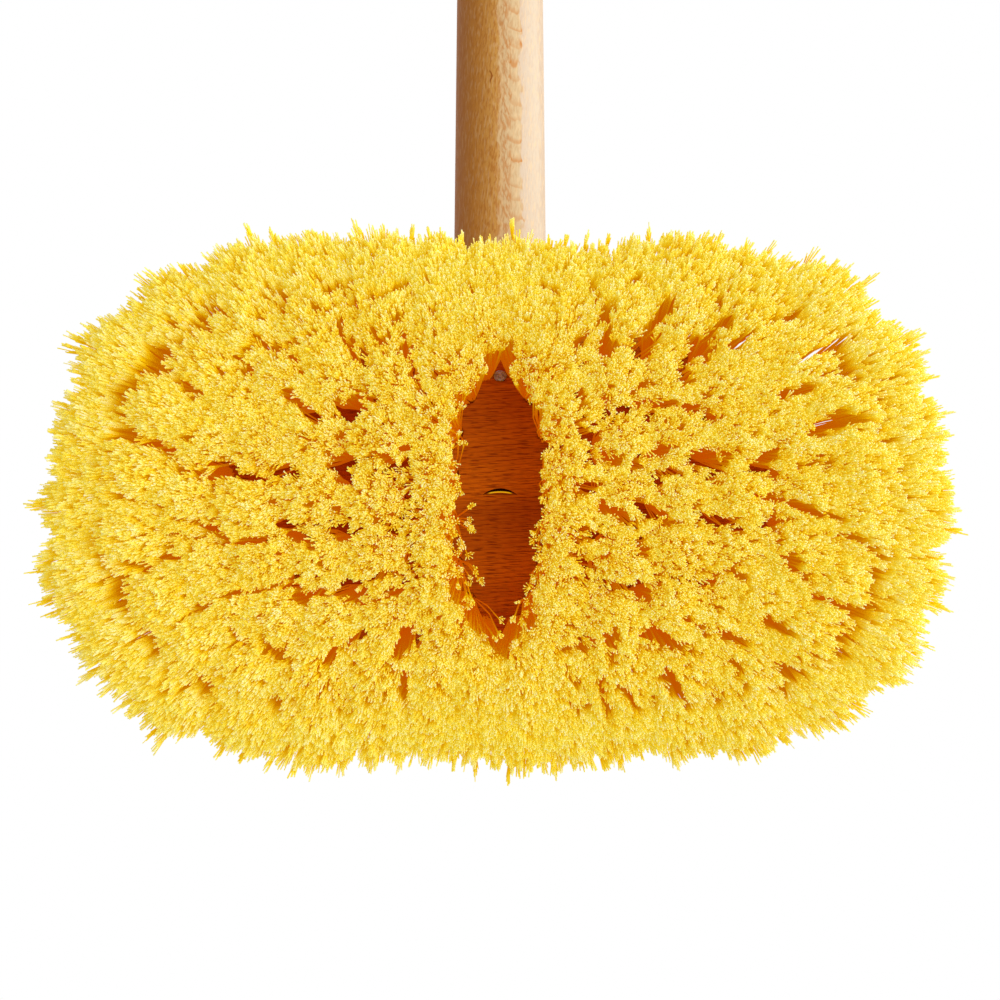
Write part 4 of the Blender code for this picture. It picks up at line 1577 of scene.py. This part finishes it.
@dataclass(frozen=True)
class Studio:
    """The camera under the brush, a one-sided floor, soft lamps and a white surround."""

    camera_place: Triple = (0.0, -0.0005, -1.103)
    lens: float = 153.54
    sensor: float = 36.0
    floor_height: float = -0.0550
    floor_half: float = 4.0
    floor_fade: Band = (0.2, 0.95)
    floor_colour: Colour = (0.86, 0.86, 0.86)
    surround_light: float = 0.46
    lamps: tuple = (
        ("key", (-0.75, 0.05, -1.35), 1.3, 14.5),
        ("side", (-1.30, 0.55, 0.05), 1.0, 17.0),
        ("top", (-0.7, -0.9, 2.2), 1.2, 12.0),
    )

    def build(self) -> None:
        """Makes the camera, the floor, the lamps and the surround."""
        self._camera()
        self._floor()
        for lamp in self.lamps:
            self._lamp(*lamp)
        self._surround()
        bpy.context.scene.view_settings.view_transform = "Standard"

    def _camera(self) -> None:
        """The camera, looking straight up at the bristles with +Y at the top of the picture."""
        data = bpy.data.cameras.new("camera")
        data.lens = self.lens
        data.sensor_width = self.sensor
        camera = bpy.data.objects.new("camera", data)
        camera.matrix_world = Matrix.Translation(self.camera_place) @ Matrix(
            ((-1, 0, 0, 0), (0, 1, 0, 0), (0, 0, -1, 0), (0, 0, 0, 1))
        )
        bpy.context.collection.objects.link(camera)
        bpy.context.scene.camera = camera

    @staticmethod
    def _lamp(name: str, spot: Triple, size: float, power: float) -> None:
        """A soft square lamp that faces the brush and isn't seen itself."""
        data = bpy.data.lights.new(name, "AREA")
        data.size = size
        data.energy = power
        lamp = bpy.data.objects.new(name, data)
        lamp.location = spot
        lamp.rotation_euler = (-Vector(spot)).to_track_quat("-Z", "Y").to_euler()
        lamp.visible_camera = False
        bpy.context.collection.objects.link(lamp)

    def _floor(self) -> None:
        """A pale floor that only shows from above and only to the camera."""
        builder = bmesh.new()
        bmesh.ops.create_grid(builder, x_segments=2, y_segments=2, size=self.floor_half)
        floor = add_object("floor", builder, self._floor_material())
        floor.data.transform(Matrix.Translation((0, 0, self.floor_height)))

    def _floor_material(self) -> bpy.types.Material:
        """Matt and pale to the camera above it, and clear to everything else."""
        graph = ShaderGraph.material("floor_pale")
        seen = graph.add("ShaderNodeLightPath")["Is Camera Ray"]
        behind = graph.add("ShaderNodeNewGeometry")["Backfacing"]
        away = graph.object_place().length()
        near = 1.0 - graph.fade(away, *(self.floor_half * share for share in self.floor_fade))
        matt = graph.add("ShaderNodeBsdfDiffuse", {"Color": (*self.floor_colour, 1.0)})
        clear = graph.add("ShaderNodeBsdfTransparent")
        shader = graph.add("ShaderNodeMixShader", {0: seen * (1.0 - behind) * near, 1: clear, 2: matt})
        graph.add("ShaderNodeOutputMaterial", {"Surface": shader})
        return graph.owner

    def _surround(self) -> None:
        """White to the camera and in reflections, and a soft even light otherwise."""
        world = bpy.data.worlds.new("surround")
        graph = ShaderGraph(world)
        path = graph.add("ShaderNodeLightPath")
        mirrored = path["Is Glossy Ray"].call("MAXIMUM", path["Is Transmission Ray"])
        shown = path["Is Camera Ray"].call("MAXIMUM", mirrored)
        strength = self.surround_light + shown * (1.0 - self.surround_light)
        light = graph.add("ShaderNodeBackground", {"Color": (1, 1, 1, 1), "Strength": strength})
        graph.add("ShaderNodeOutputWorld", {"Surface": light})
        bpy.context.scene.world = world


def main() -> None:
    """Builds the brush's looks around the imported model."""
    logging.basicConfig(level=logging.INFO, format="%(message)s")
    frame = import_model()

    block_form = BlockForm()
    handle_form = HandleForm()
    layout = TuftLayout(block_form)
    tufts = list(layout.tufts())
    log.info("tufts: %d", len(tufts))

    block_beech = Beech("block_beech")
    foot = handle_form.hole_frame(block_form.clearance).translation
    handle_beech = HandleBeech("handle_beech", handle_form, foot)
    Block(block_form, handle_form, block_beech).build(tufts)
    Handle(handle_form, block_form, handle_beech).build()
    edge_filament = FilamentForm(
        split_share=0.74, fans=(0.42, 0.95), fibre_reaches=(0.92, 1.012), paleness=0.02
    )
    Pile(FilamentForm(), edge_filament, BristleFinish(), PARTINGS).build(tufts)
    frame["nodes"]["handle_nail"].material_slots[0].material = NailSteel().material()
    Studio().build()


# Where the pile parts, in millimetres on the level of its ends: a line from one place to another, and the
# half width of the gap along it. The first ones open the centre.
PARTINGS_MM = (
    (0.2, 9, 0, 0, 9.9), (0, 0, 0.3, -8, 9.9), (0.6, 16, 0.2, 9, 9.3),
    (0.3, -8, 1.2, -14, 9.8), (1.5, 21, 0.6, 16, 8.3), (1.2, -14, 1.4, -19, 9.8),
    (1.9, 25, 1.5, 21, 6.9), (1.4, -19, 0.6, -24, 9.4), (1.0, 29, 1.9, 25, 4.7),
    (0.6, -24, 0.0, -27, 7.0), (0.2, 34, 1.0, 29, 2.2), (53, 51, 50, 54, 1.4),
    (44, 52, 38, 54, 1.4), (32, 51, 25, 54, 1.7), (74, 50, 71, 47, 1.4),
    (47, 49, 43, 47, 1.4), (66, 36, 63, 39, 1.8), (61, 40, 56, 37, 1.85),
    (54, 38, 50, 32, 1.85), (41, 44, 37, 35, 1.5), (30, 40, 25, 46, 1.7),
    (25, 45, 24, 40, 1.5), (24, 39, 20, 27, 1.23), (86, 35, 77, 26, 1.85),
    (54, 26, 46, 20, 1.75), (36, 32, 33, 25, 1.23), (34, 26, 28, 22, 1.23),
    (97, 17, 83, 12, 1.76), (83, 8, 75, 7, 1.5), (70, 7, 62, 5, 1.75),
    (61, 9, 52, 6, 1.41), (43, 11, 38, 4, 2.0), (30, 11, 26, 7, 1.5),
    (24, 13, 23, 0, 1.23), (96, 0, 85, -3, 1.5), (83, -5, 76, -7, 1.23),
    (68, -6, 63, -7, 1.23), (66, -11, 59, -10, 1.5), (52, -9, 47, -12, 1.76),
    (41, -3, 38, -6, 1.23), (30, -6, 26, -9, 1.67), (96, -17, 89, -18, 1.5),
    (84, -15, 80, -16, 1.23), (72, -25, 53, -22, 1.23), (52, -25, 45, -24, 1.75),
    (40, -23, 26, -19, 1.23), (83, -33, 73, -25, 1.5), (67, -35, 62, -37, 1.32),
    (60, -37, 54, -41, 2.1), (40, -38, 35, -35, 1.7), (46, -44, 41, -38, 1.76),
    (28, -43, 23, -35, 2.2), (25, -45, 24, -54, 1.9), (15, -48, 10, -53, 1.4),
    (-11, 54, -14, 52, 1.4), (-23, 54, -24, 51, 1.7), (-35, 55, -38, 53, 1.4),
    (-26, 47, -27, 38, 2.9), (-19, 38, -24, 45, 1.7), (-36, 39, -42, 48, 2.9),
    (-47, 32, -53, 41, 3.2), (-53, 42, -58, 46, 2.3), (-60, 39, -62, 41, 1.7),
    (-26, 26, -27, 22, 1.7), (-34, 26, -37, 29, 1.7), (-35, 24, -49, 23, 1.4),
    (-20, 26, -22, 23, 1.4), (-72, 26, -78, 28, 1.7), (-75, 35, -89, 41, 1.22),
    (-81, 18, -88, 20, 2.9), (-21, 17, -24, 13, 1.9), (-25, 11, -29, 10, 2.5),
    (-35, 9, -41, 12, 2.4), (-40, 7, -45, 6, 1.7), (-50, 9, -58, 11, 2.9),
    (-64, 8, -70, 11, 2.0), (-75, 8, -83, 9, 1.9), (-20, 2, -25, 3, 2.4),
    (-26, -2, -35, -7, 1.7), (-36, -3, -41, -4, 2.7), (-42, -6, -50, -7, 1.5),
    (-50, -4, -58, -6, 2.1), (-69, 0, -75, -2, 1.4), (-75, -2, -87, -6, 1.4),
    (-20, -11, -25, -9, 2.0), (-19, -14, -22, -17, 1.9), (-35, -11, -40, -19, 1.7),
    (-59, -18, -61, -20, 1.7), (-74, -17, -79, -21, 2.6), (-84, -8, -97, -14, 1.7),
    (-29, -23, -35, -24, 2.5), (-47, -30, -52, -34, 1.7), (-50, -32, -62, -37, 1.9),
    (-68, -31, -73, -34, 2.2), (-39, -35, -45, -38, 2.6), (-28, -36, -29, -41, 2.4),
    (-15, -39, -24, -36, 1.4), (-80, -25, -92, -30, 1.7), (-42, -45, -47, -52, 1.9),
    (-59, -42, -62, -48, 1.5), (-25, -47, -27, -54, 1.7), (-30, -48, -35, -54, 1.4),
)
PARTINGS = tuple(tuple(value / 1000 for value in row) for row in PARTINGS_MM)


if __name__ == "__main__":
    main()
